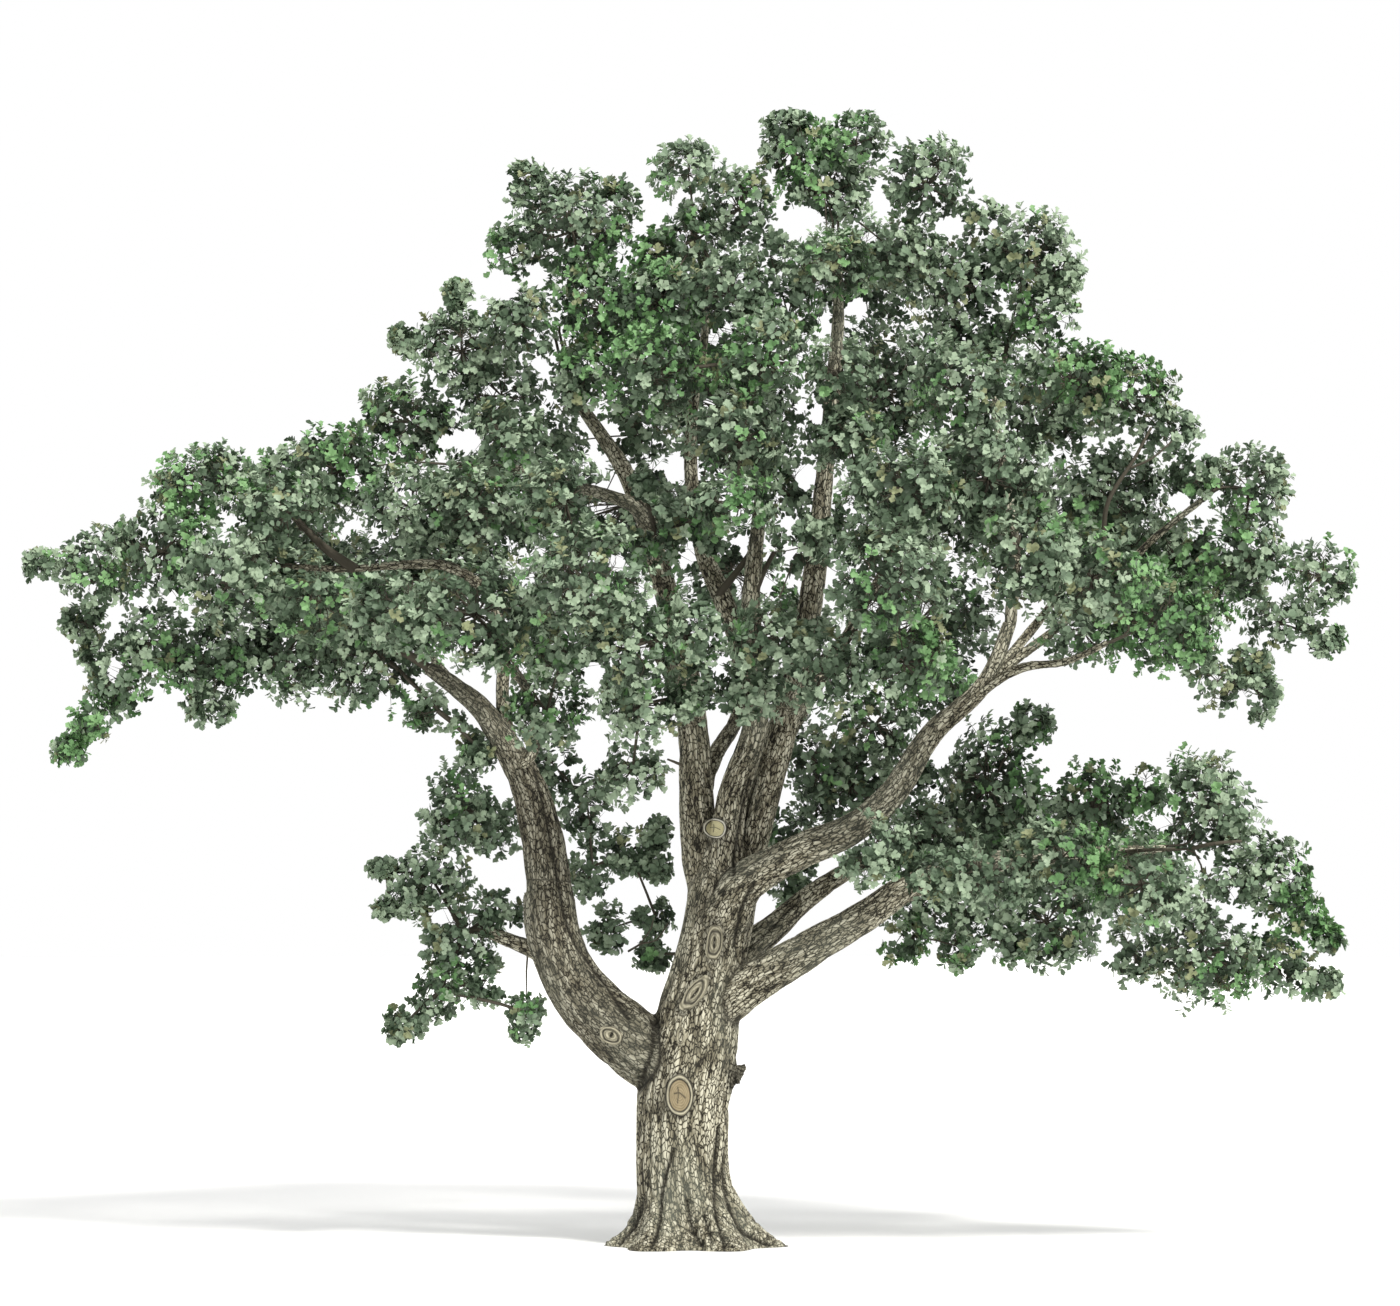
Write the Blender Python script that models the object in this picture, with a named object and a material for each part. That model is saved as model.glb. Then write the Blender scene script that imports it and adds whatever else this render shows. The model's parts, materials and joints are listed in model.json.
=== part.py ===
"""An old, open-grown oak, as separate named solids.

The trunk stands on a flat cut at ground level and forks into three stems, one great limb on the left and
three boughs on the right.  Smaller boughs carry them on into the crown, and every bough ends where it enters
a mass of foliage.  Metres, +Z up, +X to the right, the front looks towards -Y; the origin is the centre of
the trunk's foot.
"""

import math
import random
from collections import namedtuple

import bmesh
import bpy
import numpy as np
from mathutils import Matrix, Vector, noise
from mathutils.bvhtree import BVHTree

# ---------------------------------------------------------------- sizes of the whole tree

CLEARANCE = 0.0003          # gap between solids that touch
SEED = 1871

# Trunk: height, sideways place of its axis and half its width, from the foot to the fork.
TRUNK_RINGS = [
    (0.00, 0.10, 1.44), (0.20, 0.10, 1.20), (0.45, 0.07, 1.02), (0.80, 0.00, 0.88), (1.20, -0.08, 0.81),
    (1.90, -0.11, 0.79), (2.70, -0.08, 0.80), (3.40, 0.05, 0.79), (4.10, 0.18, 0.72), (4.80, 0.34, 0.65),
    (5.50, 0.50, 0.61), (6.20, 0.60, 0.59), (6.60, 0.62, 0.45),
]
TRUNK_SIDES = 20
ROOT_BUTTRESSES, BUTTRESS_TURN = 6, 0.4   # ridges that run down the flare into the roots
FOOT_FLANKS, FLANK_SHARE, FLANK_TURN = 3, 0.4, 1.1   # and broader flanks, shallower by that share
BUTTRESS_DEPTH = 0.13       # share of the foot's half width
BUTTRESS_HEIGHT = 1.5       # they fade out by here
BUTTRESS_FADE = 1.5         # power of that fading
STUB_HEIGHT, STUB_ANGLE = 2.95, 0.05   # rest of a lost branch, on the right side
STUB_DEPTH, STUB_RISE, STUB_NARROWNESS = 0.14, 0.35, 7.0

# Limbs: what they spring from, radius at the root and at the tip, and the few places they pass through.
Limb = namedtuple("Limb", "parent root_radius tip_radius route")
LIMBS = {
    "left_limb_low": Limb("trunk", 0.63, 0.44, [(-0.25, 0, 3.05), (-0.97, 0, 3.54), (-1.92, -0.05, 4.45),
        (-2.34, -0.05, 5.38), (-2.45, 0, 6.15)]),
    "left_limb_high": Limb("left_limb_low", 0.44, 0.12, [(-2.4, 0, 6), (-2.55, 0, 7.05),
        (-2.85, 0, 8.1), (-3.5, -0.1, 9.2), (-4.1, -0.2, 9.75), (-4.55, -0.3, 10.05)]),
    "left_bough_far": Limb("left_limb_high", 0.14, 0.06, [(-3, 0.1, 8.45), (-3.25, 0.2, 9.4),
        (-3.25, 0.4, 10.4), (-3.5, 0.5, 11.35), (-4.2, 0.2, 11.85), (-5, -0.3, 11.85),
        (-5.95, -0.7, 11.75), (-6.9, -0.6, 11.8)]),
    "left_bough_front": Limb("left_limb_high", 0.12, 0.07, [(-2.95, -0.05, 8.3), (-2.65, -0.7, 8.7),
        (-2.7, -1.7, 9.45), (-3.05, -2.5, 10)]),
    "left_bough_back": Limb("left_limb_high", 0.12, 0.07, [(-3.25, 0.1, 8.85), (-4.05, 1.5, 9.7),
        (-4.85, 2.9, 10.65)]),
    "low_left_branch": Limb("left_limb_low", 0.18, 0.1, [(-2.45, 0.05, 5.05), (-3, 0.2, 5.25),
        (-3.55, 0.5, 5.45)]),
    "stem_left": Limb("trunk", 0.35, 0.17, [(0.25, 0, 6.15), (0.15, 0.2, 7.75), (0.1, 0.3, 8.9),
        (-0.1, 0.6, 10.25), (-0.45, 0.9, 11.65), (-0.8, 1, 12.9)]),
    "stem_middle": Limb("trunk", 0.32, 0.11, [(0.6, -0.2, 6.15), (0.75, -0.25, 7.65),
        (1.05, -0.3, 8.8), (1.1, -0.5, 10.1), (1.1, -0.7, 11.3), (1.2, -0.9, 12.3), (1.25, -1.1, 12.9)]),
    "leader": Limb("trunk", 0.32, 0.08, [(0.95, 0.2, 6.15), (1.15, 0.25, 7.15), (1.6, 0.3, 8.8),
        (1.95, 0.35, 10.2), (2.2, 0.4, 11.55), (2.4, 0.3, 13.4), (2.55, 0.2, 14.95),
        (2.65, 0.1, 16.35), (2.6, 0, 17.65)]),
    "back_bough_left": Limb("stem_left", 0.16, 0.07, [(0.25, 0.25, 7.95), (0.5, 0.9, 8.6),
        (0.9, 2, 9.35), (1, 3.4, 10.55), (0.6, 4.8, 11.95), (0.25, 5.4, 12.8)]),
    "back_bough_right": Limb("leader", 0.16, 0.07, [(1.55, 0.4, 8.6), (2.1, 1.6, 9.5),
        (2.85, 3.2, 10.75), (3.6, 4.6, 12.1), (3.95, 5.2, 12.9)]),
    "front_bough_left": Limb("stem_left", 0.15, 0.08, [(0.05, 0.2, 9.15), (-0.2, -1, 9.65),
        (-0.6, -2.6, 10.3)]),
    "front_bough_right": Limb("leader", 0.15, 0.08, [(1.8, 0.2, 9.4), (2.15, -1.2, 9.9),
        (2.75, -2.8, 10.55)]),
    "crest_bough_left": Limb("stem_left", 0.18, 0.08, [(-0.8, 0.95, 12.75), (-1.05, 0.8, 13.45),
        (-1.35, 0.6, 13.95), (-1.7, 0.4, 14.45), (-2.1, 0.3, 15.05), (-2.25, 0.4, 15.7)]),
    "side_bough_left": Limb("stem_left", 0.14, 0.06, [(-0.65, 0.9, 12.6), (-1.05, 0.5, 13),
        (-1.95, 0, 13.25), (-2.9, -0.4, 13.5), (-4.15, -0.4, 13.6)]),
    "crest_bough_mid": Limb("stem_middle", 0.21, 0.06, [(1.05, -0.45, 9.9), (0.85, -0.3, 10.65),
        (0.55, -0.2, 11.4), (0.25, 0.1, 12.2), (0.05, 0.5, 13.55), (0.1, 0.4, 14.8), (0.3, 0.2, 16),
        (0.35, 0, 17)]),
    "right_bough_rise": Limb("trunk", 0.37, 0.12, [(0.6, -0.25, 5.7), (1, -0.5, 6.3),
        (1.95, -0.95, 6.85), (2.8, -1.1, 7.2), (3.55, -1, 7.85), (4.2, -0.9, 8.85),
        (5.15, -0.7, 9.75), (5.6, -0.6, 10.8)]),
    "right_crest_bough": Limb("right_bough_rise", 0.12, 0.06, [(5.6, -0.6, 10.7), (5.7, -0.5, 12.1),
        (5.55, -0.2, 13.5), (5.4, 0.1, 14.75), (5.6, 0.1, 15.6)]),
    "right_bough_far": Limb("right_bough_rise", 0.1, 0.06, [(5.3, -0.7, 9.85), (5.85, -0.4, 10.3),
        (6.4, -0.1, 10.7), (7.4, 0.2, 11.6), (8.25, 0.1, 12.4), (9, -0.3, 13)]),
    "right_bough_side": Limb("right_bough_rise", 0.1, 0.06, [(5.05, -0.75, 9.6), (5.75, -1.1, 10),
        (6.5, -1.5, 10.1), (7.2, -2, 10.4)]),
    "right_bough_back": Limb("right_bough_rise", 0.12, 0.07, [(4.8, -0.75, 9.4), (5.5, 0.6, 10.1),
        (6.4, 1.8, 11.15), (7, 2.2, 12)]),
    "right_bough_mid": Limb("trunk", 0.32, 0.1, [(0.6, 0.2, 4.5), (1, 0.4, 5.1), (1.55, 0.7, 5.55),
        (2.05, 1, 6), (2.8, 1.25, 6.5), (3.7, 1.3, 6.9)]),
    "right_bough_low": Limb("trunk", 0.4, 0.07, [(0.4, -0.1, 4.04), (1.05, -0.3, 4.51), (1.95, -0.6, 5.06),
        (3.1, -0.8, 5.74), (3.75, -0.9, 6.2), (4.7, -0.9, 6.55), (6.1, -0.8, 6.75), (7.65, -0.7, 6.85),
        (8.3, -0.6, 6.9)]),
}

# Masses of foliage: the bough each one grows from, and its lobes: centre, half width and half height.
Mass = namedtuple("Mass", "bough lobes")
MASSES = {
    "left_tip": Mass("left_bough_far", [(-9.15, -0.4, 12.05, 1, 0.98), (-10.25, -0.2, 11.75, 0.82, 0.85),
        (-11.3, -0.2, 11.85, 0.4, 0.25), (-8.5, 0.3, 13.25, 1.05, 0.85),
        (-10.55, -0.1, 10.85, 0.4, 0.35), (-10.3, -0.1, 10.3, 0.38, 0.35)]),
    "left_under": Mass("left_bough_far", [(-8.3, 0.3, 10.2, 1.2, 0.9), (-9.4, 0, 10.55, 0.75, 0.7),
        (-9.9, 0, 9.75, 0.62, 0.62), (-10.35, 0, 9.1, 0.45, 0.45), (-10.75, 0, 8.6, 0.36, 0.3),
        (-8.35, 0.2, 9.45, 0.45, 0.45)]),
    "left_heart": Mass("left_bough_far", [(-7.75, -1.7, 11.4, 1, 1), (-6.95, -1.3, 12.65, 0.95, 0.9),
        (-6.25, -2, 11.1, 0.9, 0.85)]),
    "left_skirt": Mass("left_limb_high", [(-5.5, 0.3, 10.4, 1.15, 1.2), (-7.1, 0.6, 10.35, 1.05, 1.02),
        (-6.4, 1.5, 11.55, 1.05, 0.9), (-4.35, -0.3, 9.3, 0.6, 0.42), (-3.65, 0.1, 8.65, 0.35, 0.4)]),
    "left_shoulder": Mass("side_bough_left", [(-6.15, 0.3, 13.55, 1.05, 0.95),
        (-4.85, 0.3, 14.4, 1.1, 0.85), (-7.2, 1.5, 13.25, 1, 0.9)]),
    "left_mid": Mass("side_bough_left", [(-4.75, -1.5, 12.75, 0.95, 0.8), (-3.65, -1.9, 12.65, 1.05, 0.9),
        (-3.25, -1, 13.95, 0.85, 0.75)]),
    "left_peak": Mass("crest_bough_left", [(-2.9, -0.4, 16.05, 0.8, 0.75), (-4, 0.2, 15.65, 0.95, 0.8),
        (-5, 0.2, 15.85, 0.3, 0.25), (-4.05, 0.2, 16.65, 0.25, 0.25), (-3.3, 0.4, 14.9, 0.95, 0.7)]),
    "top_left": Mass("crest_bough_left", [(-1.5, -0.4, 16.35, 1, 0.9), (-2.05, 0.2, 17.8, 1.15, 1.15),
        (-3.12, 0.2, 17.35, 0.55, 0.5), (-2.85, 0.2, 18.6, 0.4, 0.4), (-1.25, 0.1, 18.2, 0.47, 0.5),
        (-1.75, -0.5, 15.15, 0.75, 0.65), (-0.95, 1.4, 14.3, 0.75, 0.7), (-2.4, 1.2, 14.1, 0.7, 0.6),
        (-1.5, 1.3, 13.2, 0.75, 0.6), (-2, -0.5, 14.75, 0.4, 0.35)]),
    "top_middle": Mass("crest_bough_mid", [(0.15, 0.3, 17.65, 0.85, 0.6), (0, 0, 18.78, 0.66, 0.6),
        (0.9, 0, 18.15, 0.75, 0.75), (-0.5, -1, 16.35, 0.9, 0.75), (0.75, -1, 16.5, 0.9, 0.75),
        (-0.55, 0.1, 17.3, 0.5, 0.45)]),
    "high_middle": Mass("stem_middle", [(0.9, -2.4, 13.8, 1, 0.9), (0.85, -3.2, 12.65, 0.85, 0.6),
        (1.3, -2.2, 15.2, 1, 0.85), (-0.6, -1.8, 15, 1.1, 0.9), (-0.35, -1.4, 12.3, 0.75, 0.7),
        (1.75, -1.2, 13, 0.6, 0.6), (2.6, -1.8, 15, 0.8, 0.65),
        (0.15, -1.5, 12.75, 0.5, 0.5), (-0.55, -0.9, 12.35, 0.45, 0.4), (0.3, -1.3, 12.2, 0.35, 0.33),
        (-0.75, -0.6, 13.1, 0.35, 0.35)]),
    "top": Mass("leader", [(2.4, 0, 18.45, 1, 0.65), (1.85, -0.1, 19.2, 0.6, 0.8),
        (2.95, 0.1, 19.3, 0.6, 0.7), (2.45, -0.9, 17.05, 1.05, 0.6), (1.75, -0.6, 16.2, 0.6, 0.65),
        (1.7, 0, 19.55, 0.4, 0.4), (1.45, -0.1, 17.3, 0.5, 0.45), (2.4, 0, 19.15, 0.42, 0.45)]),
    "top_right": Mass("leader", [(3.8, 0.3, 17.3, 0.9, 0.65), (4.22, 0.2, 18.6, 0.88, 0.92),
        (4.75, 0.2, 16.8, 0.9, 0.85), (4.6, 0.3, 15.9, 0.6, 0.5)]),
    "right_crest": Mass("right_crest_bough", [(6, 0.2, 17.25, 0.95, 0.97), (6.55, 0.2, 16.95, 0.42, 0.45),
        (6.25, 0, 16.2, 0.65, 0.65), (5.2, 0.2, 17.85, 0.55, 0.45), (5.2, 0.3, 15.85, 0.75, 0.5)]),
    "right_high": Mass("right_crest_bough", [(6.7, 0, 15.07, 1.1, 0.8), (7.7, 0.3, 14.88, 1.08, 0.75),
        (8.4, 0.2, 14.2, 0.6, 0.5)]),
    "right_tip": Mass("right_bough_far", [(9.85, -0.2, 13.17, 0.73, 0.9), (9.65, -0.2, 11.95, 0.95, 0.85),
        (11.08, -0.2, 11.65, 0.68, 0.68), (10.3, -0.2, 10.85, 0.65, 0.5), (11.1, -0.2, 10.55, 0.38, 0.28),
        (8.8, -0.1, 13.35, 0.55, 0.6)]),
    "right_mid": Mass("right_bough_back", [(7.55, 1.5, 13.15, 1.2, 1), (8.65, 1, 12.05, 0.9, 0.9),
        (7.65, 0.9, 11.8, 1, 0.9)]),
    "right_back": Mass("right_bough_back", [(7.9, 3.6, 12.2, 1.65, 1.3), (6.65, 4.4, 13, 1.5, 1.3),
        (9, 2.8, 11.45, 1.2, 0.95)]),
    "right_low": Mass("right_bough_side", [(8.1, -1.4, 10.85, 1.1, 1.02), (6.9, -0.8, 10.6, 0.85, 0.65),
        (8.7, -0.8, 10.3, 0.5, 0.4), (9.25, -0.4, 9.77, 0.57, 0.55), (9.98, -0.2, 9.57, 0.32, 0.5),
        (9.8, -0.2, 10.15, 0.36, 0.26)]),
    "right_front": Mass("right_bough_side", [(6.8, -3.2, 11.4, 1.2, 0.95), (5.65, -3.7, 11.7, 1.1, 0.9),
        (5.05, -3.4, 13.05, 1.2, 1), (4.6, -2.6, 14.6, 1.05, 1)]),
    "low_right_top": Mass("right_bough_mid", [(5.3, 0.9, 8, 1.1, 1.4), (7.15, 0.9, 7.65, 0.9, 0.85),
        (8, 0.8, 7.9, 0.5, 0.45), (6.05, 0.9, 9.1, 0.4, 0.4)]),
    "low_right_near": Mass("right_bough_mid", [(4.55, 0.6, 6.1, 1.15, 0.9), (3.75, 0.2, 5.4, 0.45, 0.55),
        (4.7, 0.2, 5.2, 0.4, 0.4), (6.3, 0.5, 5.62, 1.2, 0.88), (5.5, 0.3, 5.3, 0.5, 0.45)]),
    "low_right_back": Mass("right_bough_mid", [(5, 2.9, 7.1, 1.35, 1.1), (6.55, 3.1, 6.9, 1.35, 1.1),
        (8, 2.6, 6.45, 1.2, 1)]),
    "fork_right": Mass("right_bough_mid", [(4, 0.2, 7.1, 0.75, 0.75), (2.9, 1.9, 8.05, 1.05, 1.1),
        (3.15, -2, 6.85, 0.85, 0.7), (3.3, 0.9, 9.1, 0.9, 0.7), (2.28, 1.2, 8.45, 0.58, 0.85),
        (1.85, 2, 7, 0.6, 0.75), (4.35, 1.3, 9.75, 0.8, 0.65), (3.95, 0.9, 8.25, 0.5, 0.5),
        (1.9, 1.9, 6.1, 0.5, 0.4)]),
    "low_right_end": Mass("right_bough_low", [(9, -0.2, 7.62, 1.08, 1.03), (10.12, -0.2, 6.42, 0.78, 0.8),
        (11.1, -0.2, 5.35, 0.3, 0.25), (9.4, -0.6, 6.3, 0.55, 0.5), (10.7, -0.2, 5.75, 0.45, 0.42)]),
    "low_right_under": Mass("right_bough_low", [(8.95, -0.4, 5.05, 1.22, 1), (10.2, -0.2, 4.9, 0.66, 0.6),
        (10.95, -0.2, 4.55, 0.45, 0.24), (7.75, -1.9, 6.25, 1.05, 0.9), (7.75, -0.3, 5.1, 0.5, 0.6),
        (6.35, -2.1, 6.7, 0.95, 0.75), (5.1, -2.1, 6.45, 0.95, 0.75), (4.1, -2, 6.4, 0.6, 0.5)]),
    "back_left": Mass("back_bough_left", [(-1.2, 6, 13.45, 1.9, 1.6), (-2.4, 5, 11.2, 1.6, 1.25),
        (-3.45, 4.2, 13.35, 1.55, 1.35), (0.75, 2.9, 11.95, 1.1, 0.8), (1.7, 3, 11.3, 0.5, 0.45)]),
    "back_high": Mass("back_bough_left", [(0.75, 5.8, 15.2, 1.8, 1.6), (-0.05, 3.8, 16.8, 1.55, 1.3)]),
    "back_right": Mass("back_bough_right", [(5.2, 5.8, 13.7, 1.9, 1.6), (4.3, 5, 11.2, 1.75, 1.3),
        (6.65, 4, 15.2, 1.4, 1.15)]),
    "back_top": Mass("back_bough_right", [(3.55, 5, 15.5, 1.65, 1.5), (3.2, 3.2, 17.3, 1.4, 1.2)]),
    "left_back": Mass("left_bough_back", [(-5.85, 3.5, 11.5, 1.7, 1.3), (-7.35, 2.6, 12.05, 1.25, 1.05),
        (-4.35, 4, 12.25, 1.45, 1.2)]),
    "front_left": Mass("front_bough_left", [(-1, -3.6, 10.2, 1, 0.9), (-1.7, -4.4, 11.3, 1.25, 1.05),
        (-2.05, -3.4, 12.7, 0.95, 0.85), (-0.8, -2.4, 9.3, 0.95, 0.7), (-0.95, -1.4, 8.25, 0.7, 0.55),
        (0, -2.7, 10.5, 0.85, 0.8), (0.1, -2.2, 9.5, 0.6, 0.5)]),
    "front_face": Mass("front_bough_right", [(2.4, -3.4, 9.8, 0.9, 0.75), (1.3, -2.8, 10.4, 0.9, 0.7),
        (1, -2.2, 9.55, 0.85, 0.6), (1.9, -2.2, 12, 0.75, 0.55), (1.95, -1.7, 10.65, 0.6, 0.5)]),
    "front_right": Mass("front_bough_right", [(3.3, -4.6, 11.3, 1.25, 1.05), (3.6, -4.4, 12.8, 1.1, 0.95),
        (3.65, -3.4, 10, 0.95, 0.75), (2.8, -1.9, 13.8, 0.8, 0.75), (3, -1.5, 12.5, 0.7, 0.7),
        (2.25, -1.5, 12.35, 0.5, 0.45), (2.4, -1.4, 14.05, 0.5, 0.5)]),
    "left_front": Mass("left_bough_front", [(-3.55, -3.2, 10.8, 1.3, 1.1), (-4.85, -3.2, 10.9, 1, 0.9),
        (-2.4, -2, 9.2, 0.85, 0.7), (-2.1, -2.8, 10.15, 0.75, 0.7)]),
    "low_left": Mass("low_left_branch", [(-3.95, 0.6, 5.4, 0.76, 0.85), (-4.5, 0.6, 6.35, 0.8, 0.75),
        (-4, 0.6, 7.65, 0.74, 0.85), (-5.3, 0.6, 6.55, 0.32, 0.15), (-3.4, 0.8, 7.3, 0.5, 0.65),
        (-4.35, 0.6, 4.4, 0.6, 0.55), (-4.95, 0.6, 3.85, 0.4, 0.35), (-2.85, 0.3, 4.05, 0.3, 0.55),
        (-3.3, 0.7, 5.8, 0.5, 0.45), (-3.55, 0.6, 4.6, 0.35, 0.45), (-5.25, 0.6, 5.85, 0.3, 0.15)]),
    "inner_gap": Mass("trunk", [(-0.6, 1.2, 5.05, 0.4, 0.33), (-0.58, 1.2, 5.72, 0.38, 0.28),
        (-1.35, 1.2, 5.5, 0.45, 0.42), (-1.05, 1.5, 6.85, 0.4, 0.42), (-0.6, 1.5, 7.2, 0.36, 0.32),
        (-0.55, 1.5, 6.62, 0.36, 0.25), (-1.7, 1.4, 6.6, 0.5, 0.62), (-1.8, 1.7, 7.7, 0.6, 0.75),
        (-2.35, 1.4, 8.35, 0.5, 0.6)]),
}

# Open lines of sight through the crown, all towards one point well in front of the tree:
# sideways place, height, half width and half height, measured at the trunk's depth.
VIEW_POINT = Vector((0.2, -80.0, 6.0))
CLEAR_VIEWS = [
    (-3.30, 16.75, 0.35, 0.20), (-1.55, 14.20, 0.25, 0.22), (-1.35, 13.20, 0.38, 0.16),
    (-0.25, 13.50, 0.18, 0.20), (2.05, 13.42, 0.18, 0.24), (2.28, 14.52, 0.14, 0.20),
    (2.00, 18.00, 0.38, 0.22), (3.42, 18.22, 0.16, 0.20), (4.64, 17.86, 0.26, 0.16),
    (2.98, 16.42, 0.20, 0.17), (-3.32, 6.42, 0.36, 0.26), (-0.76, 4.42, 0.50, 0.36),
    (-1.68, 8.66, 0.28, 0.36), (2.40, 5.72, 0.55, 0.30), (4.45, 8.70, 0.24, 0.25),
    (0.65, 8.30, 0.16, 0.32), (8.68, 13.00, 0.14, 0.14), (10.32, 11.42, 0.18, 0.17),
    (-4.15, 14.05, 0.28, 0.14), (6.00, 10.30, 0.26, 0.14), (0.98, 12.16, 0.10, 0.20),
]

# ---------------------------------------------------------------- rules of growth

FLAT_ANGLE = math.radians(0.3)   # faces flatter to each other than this are merged
SHARP_ANGLE = math.radians(50)
WELD = 2e-5                 # points nearer than this are one
THICK_LIMB, THIN_LIMB = 0.3, 0.13   # root radii: thick limbs have more rings, thin ones six sides, not eight
BOUGH_STEP, THIN_STEP = 1.1, 1.54   # length of a limb between rings, about
LOBE_DEPTH = 1.2            # a lobe's size front to back, against its width and height
CROWN_HEART = Vector((0.3, 0.0, 10.5))   # the foremost spray of each lobe points away from here
SPACE_GAP = 0.05            # share of a lobe's reach that is left empty between two masses
CORE_SHARE = 0.76           # a core's reach, as a share of its lobe's
CORE_LEAST_SHARE, CORE_MOST_SHARE = 0.12, 0.90   # and its bounds, the second of the way that is free
CORE_LUMP = 0.45            # height of its lumps, as a share of that reach
LUMP_CHANGE, LUMP_FINENESS = 3.1, 2.3   # how the lumps change from core to core, and how close they lie
CORE_LEAST = 0.62           # lobes with a smaller half width are open: twigs and leaves only
CORE_FINE = 1.60            # cores of lobes wider than this have 80 faces, the rest 20
LEAF_LEAST, LEAF_MOST = 1, 3
LEAVES_PER_AREA = 0.86      # sprays for each square metre of a lobe's outline
LEAF_SLENDER = 0.55         # half width to length
LEAF_THICK = 0.10           # half thickness to length
LEAN = 0.85                 # how far a spray leans away from straight out
SPRAY_TILT = 0.6            # and how far its blade turns from facing outward
SPRAY_ROOT = 0.50           # where a spray's root sits in a core of full size
OPEN_SPRAY_ROOT = -0.12     # and in an open lobe: just past the branch's end
TIP_SHARE = (0.98, 1.08)    # how far towards the edge of its space a spray reaches
SHORTEST_SPRAY = 0.15
EDGE_SLACK = 0.10           # share of a lobe's reach by which sprays may pass its edge
CORE_SHRINKS = (1.0, 0.85, 0.7, 0.55, 0.4)   # a core takes the first of these sizes that is free
SPRAY_COUNTS = (1.0, 0.7, 0.45)   # and a mass the first of these shares of its sprays that joins cleanly
CLOSE = 0.004               # pieces nearer to a neighbour than this count as touching it
STEM_RADIUS_ON_TRUNK = 0.05
TRUNK_AXIS_ABOVE = 0.5      # sideways place of the trunk's axis where such a stem leaves it
SHARED_SLOT = (0.58, 0.38)  # several stems on a bough's tip: offset and radius, as shares of the tip's radius
LONE_SLOT = (0.0, 0.8)      # one stem alone
STEM_LEAD, STEM_LEAD_SHARE = 0.35, 0.3    # a stem's straight start: its most, and its share of the way
STEM_SWING = 0.25           # how far it then holds its bough's direction
STEM_STOPS = (0.4, 0.7, 1.0)
STEM_TAPER = 0.5            # share of its radius that it loses
BRANCH_RADII = (0.6, 0.35)  # a branch's ends, as shares of its stem's radius
GOLDEN_ANGLE = math.pi * (3.0 - math.sqrt(5.0))

# ---------------------------------------------------------------- materials and scene helpers


def clear_scene():
    for item in list(bpy.data.objects):
        bpy.data.objects.remove(item, do_unlink=True)


def new_collection(name):
    made = bpy.data.collections.new(name)
    bpy.context.scene.collection.children.link(made)
    return made


def principled(name, colour, roughness):
    material = bpy.data.materials.new(name)
    material.use_nodes = True
    shader = material.node_tree.nodes["Principled BSDF"]
    shader.inputs["Base Color"].default_value = (*colour, 1.0)
    shader.inputs["Roughness"].default_value = roughness
    shader.inputs["Metallic"].default_value = 0.0
    material.diffuse_color = (*colour, 1.0)
    return material


def add_object(name, mesh, collection, material=None):
    item = bpy.data.objects.new(name, mesh)
    collection.objects.link(item)
    if material:
        mesh.materials.clear()
        mesh.materials.append(material)
    return item


def mesh_from(bm, name, triangles=False):
    if triangles:
        bmesh.ops.triangulate(bm, faces=bm.faces)
    bmesh.ops.recalc_face_normals(bm, faces=bm.faces)
    mesh = bpy.data.meshes.new(name)
    bm.to_mesh(mesh)
    bm.free()
    return mesh


def bvh(meshes, swell=0.0):
    """One search tree over several meshes, each grown by swell along its normals."""
    points, faces = [], []
    for mesh in meshes:
        base = len(points)
        points += [v.co + v.normal * swell for v in mesh.vertices]
        faces += [[base + i for i in p.vertices] for p in mesh.polygons]
    return BVHTree.FromPolygons(points, faces, epsilon=0.0)


# ---------------------------------------------------------------- limbs


def smooth_route(points, step):
    """A Catmull-Rom curve through the points, read about every step."""
    p = [Vector(q) for q in points]
    p = [p[0] * 2 - p[1]] + p + [p[-1] * 2 - p[-2]]
    route = []
    for a, b, c, d in zip(p, p[1:], p[2:], p[3:]):
        parts = max(1, round((c - b).length / step))
        for i in range(parts):
            t = i / parts
            route.append(0.5 * (2 * b + (c - a) * t + (2 * a - 5 * b + 4 * c - d) * t * t
                                + (3 * b - a - 3 * c + d) * t ** 3))
    return route + [p[-2]]


def sweep(route, radii, resolution, name):
    """A tapered tube with flat ends, made as a bevelled curve and turned into a mesh."""
    curve = bpy.data.curves.new(name, "CURVE")
    curve.dimensions = "3D"
    curve.bevel_depth = 1.0
    curve.bevel_resolution = resolution
    curve.use_fill_caps = True
    spline = curve.splines.new("POLY")
    spline.points.add(len(route) - 1)
    for point, place, radius in zip(spline.points, route, radii):
        point.co = (*place, 1.0)
        point.radius = radius
    holder = bpy.data.objects.new(name, curve)
    bpy.context.scene.collection.objects.link(holder)
    drawn = holder.evaluated_get(bpy.context.evaluated_depsgraph_get())
    mesh = bpy.data.meshes.new_from_object(drawn)
    bpy.data.objects.remove(holder, do_unlink=True)
    bpy.data.curves.remove(curve)
    bm = bmesh.new()
    bm.from_mesh(mesh)
    bpy.data.meshes.remove(mesh)
    bmesh.ops.remove_doubles(bm, verts=bm.verts, dist=WELD)
    return mesh_from(bm, name, triangles=True)


def limb_route(limb):
    return smooth_route(limb.route, BOUGH_STEP if limb.root_radius > THICK_LIMB else THIN_STEP)


def limb_mesh(name, limb):
    route = limb_route(limb)
    run = [0.0]
    for a, b in zip(route, route[1:]):
        run.append(run[-1] + (b - a).length)
    radii = [limb.root_radius + (limb.tip_radius - limb.root_radius) * s / run[-1] for s in run]
    return sweep(route, radii, 2 if limb.root_radius > THIN_LIMB else 1, name)


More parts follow.
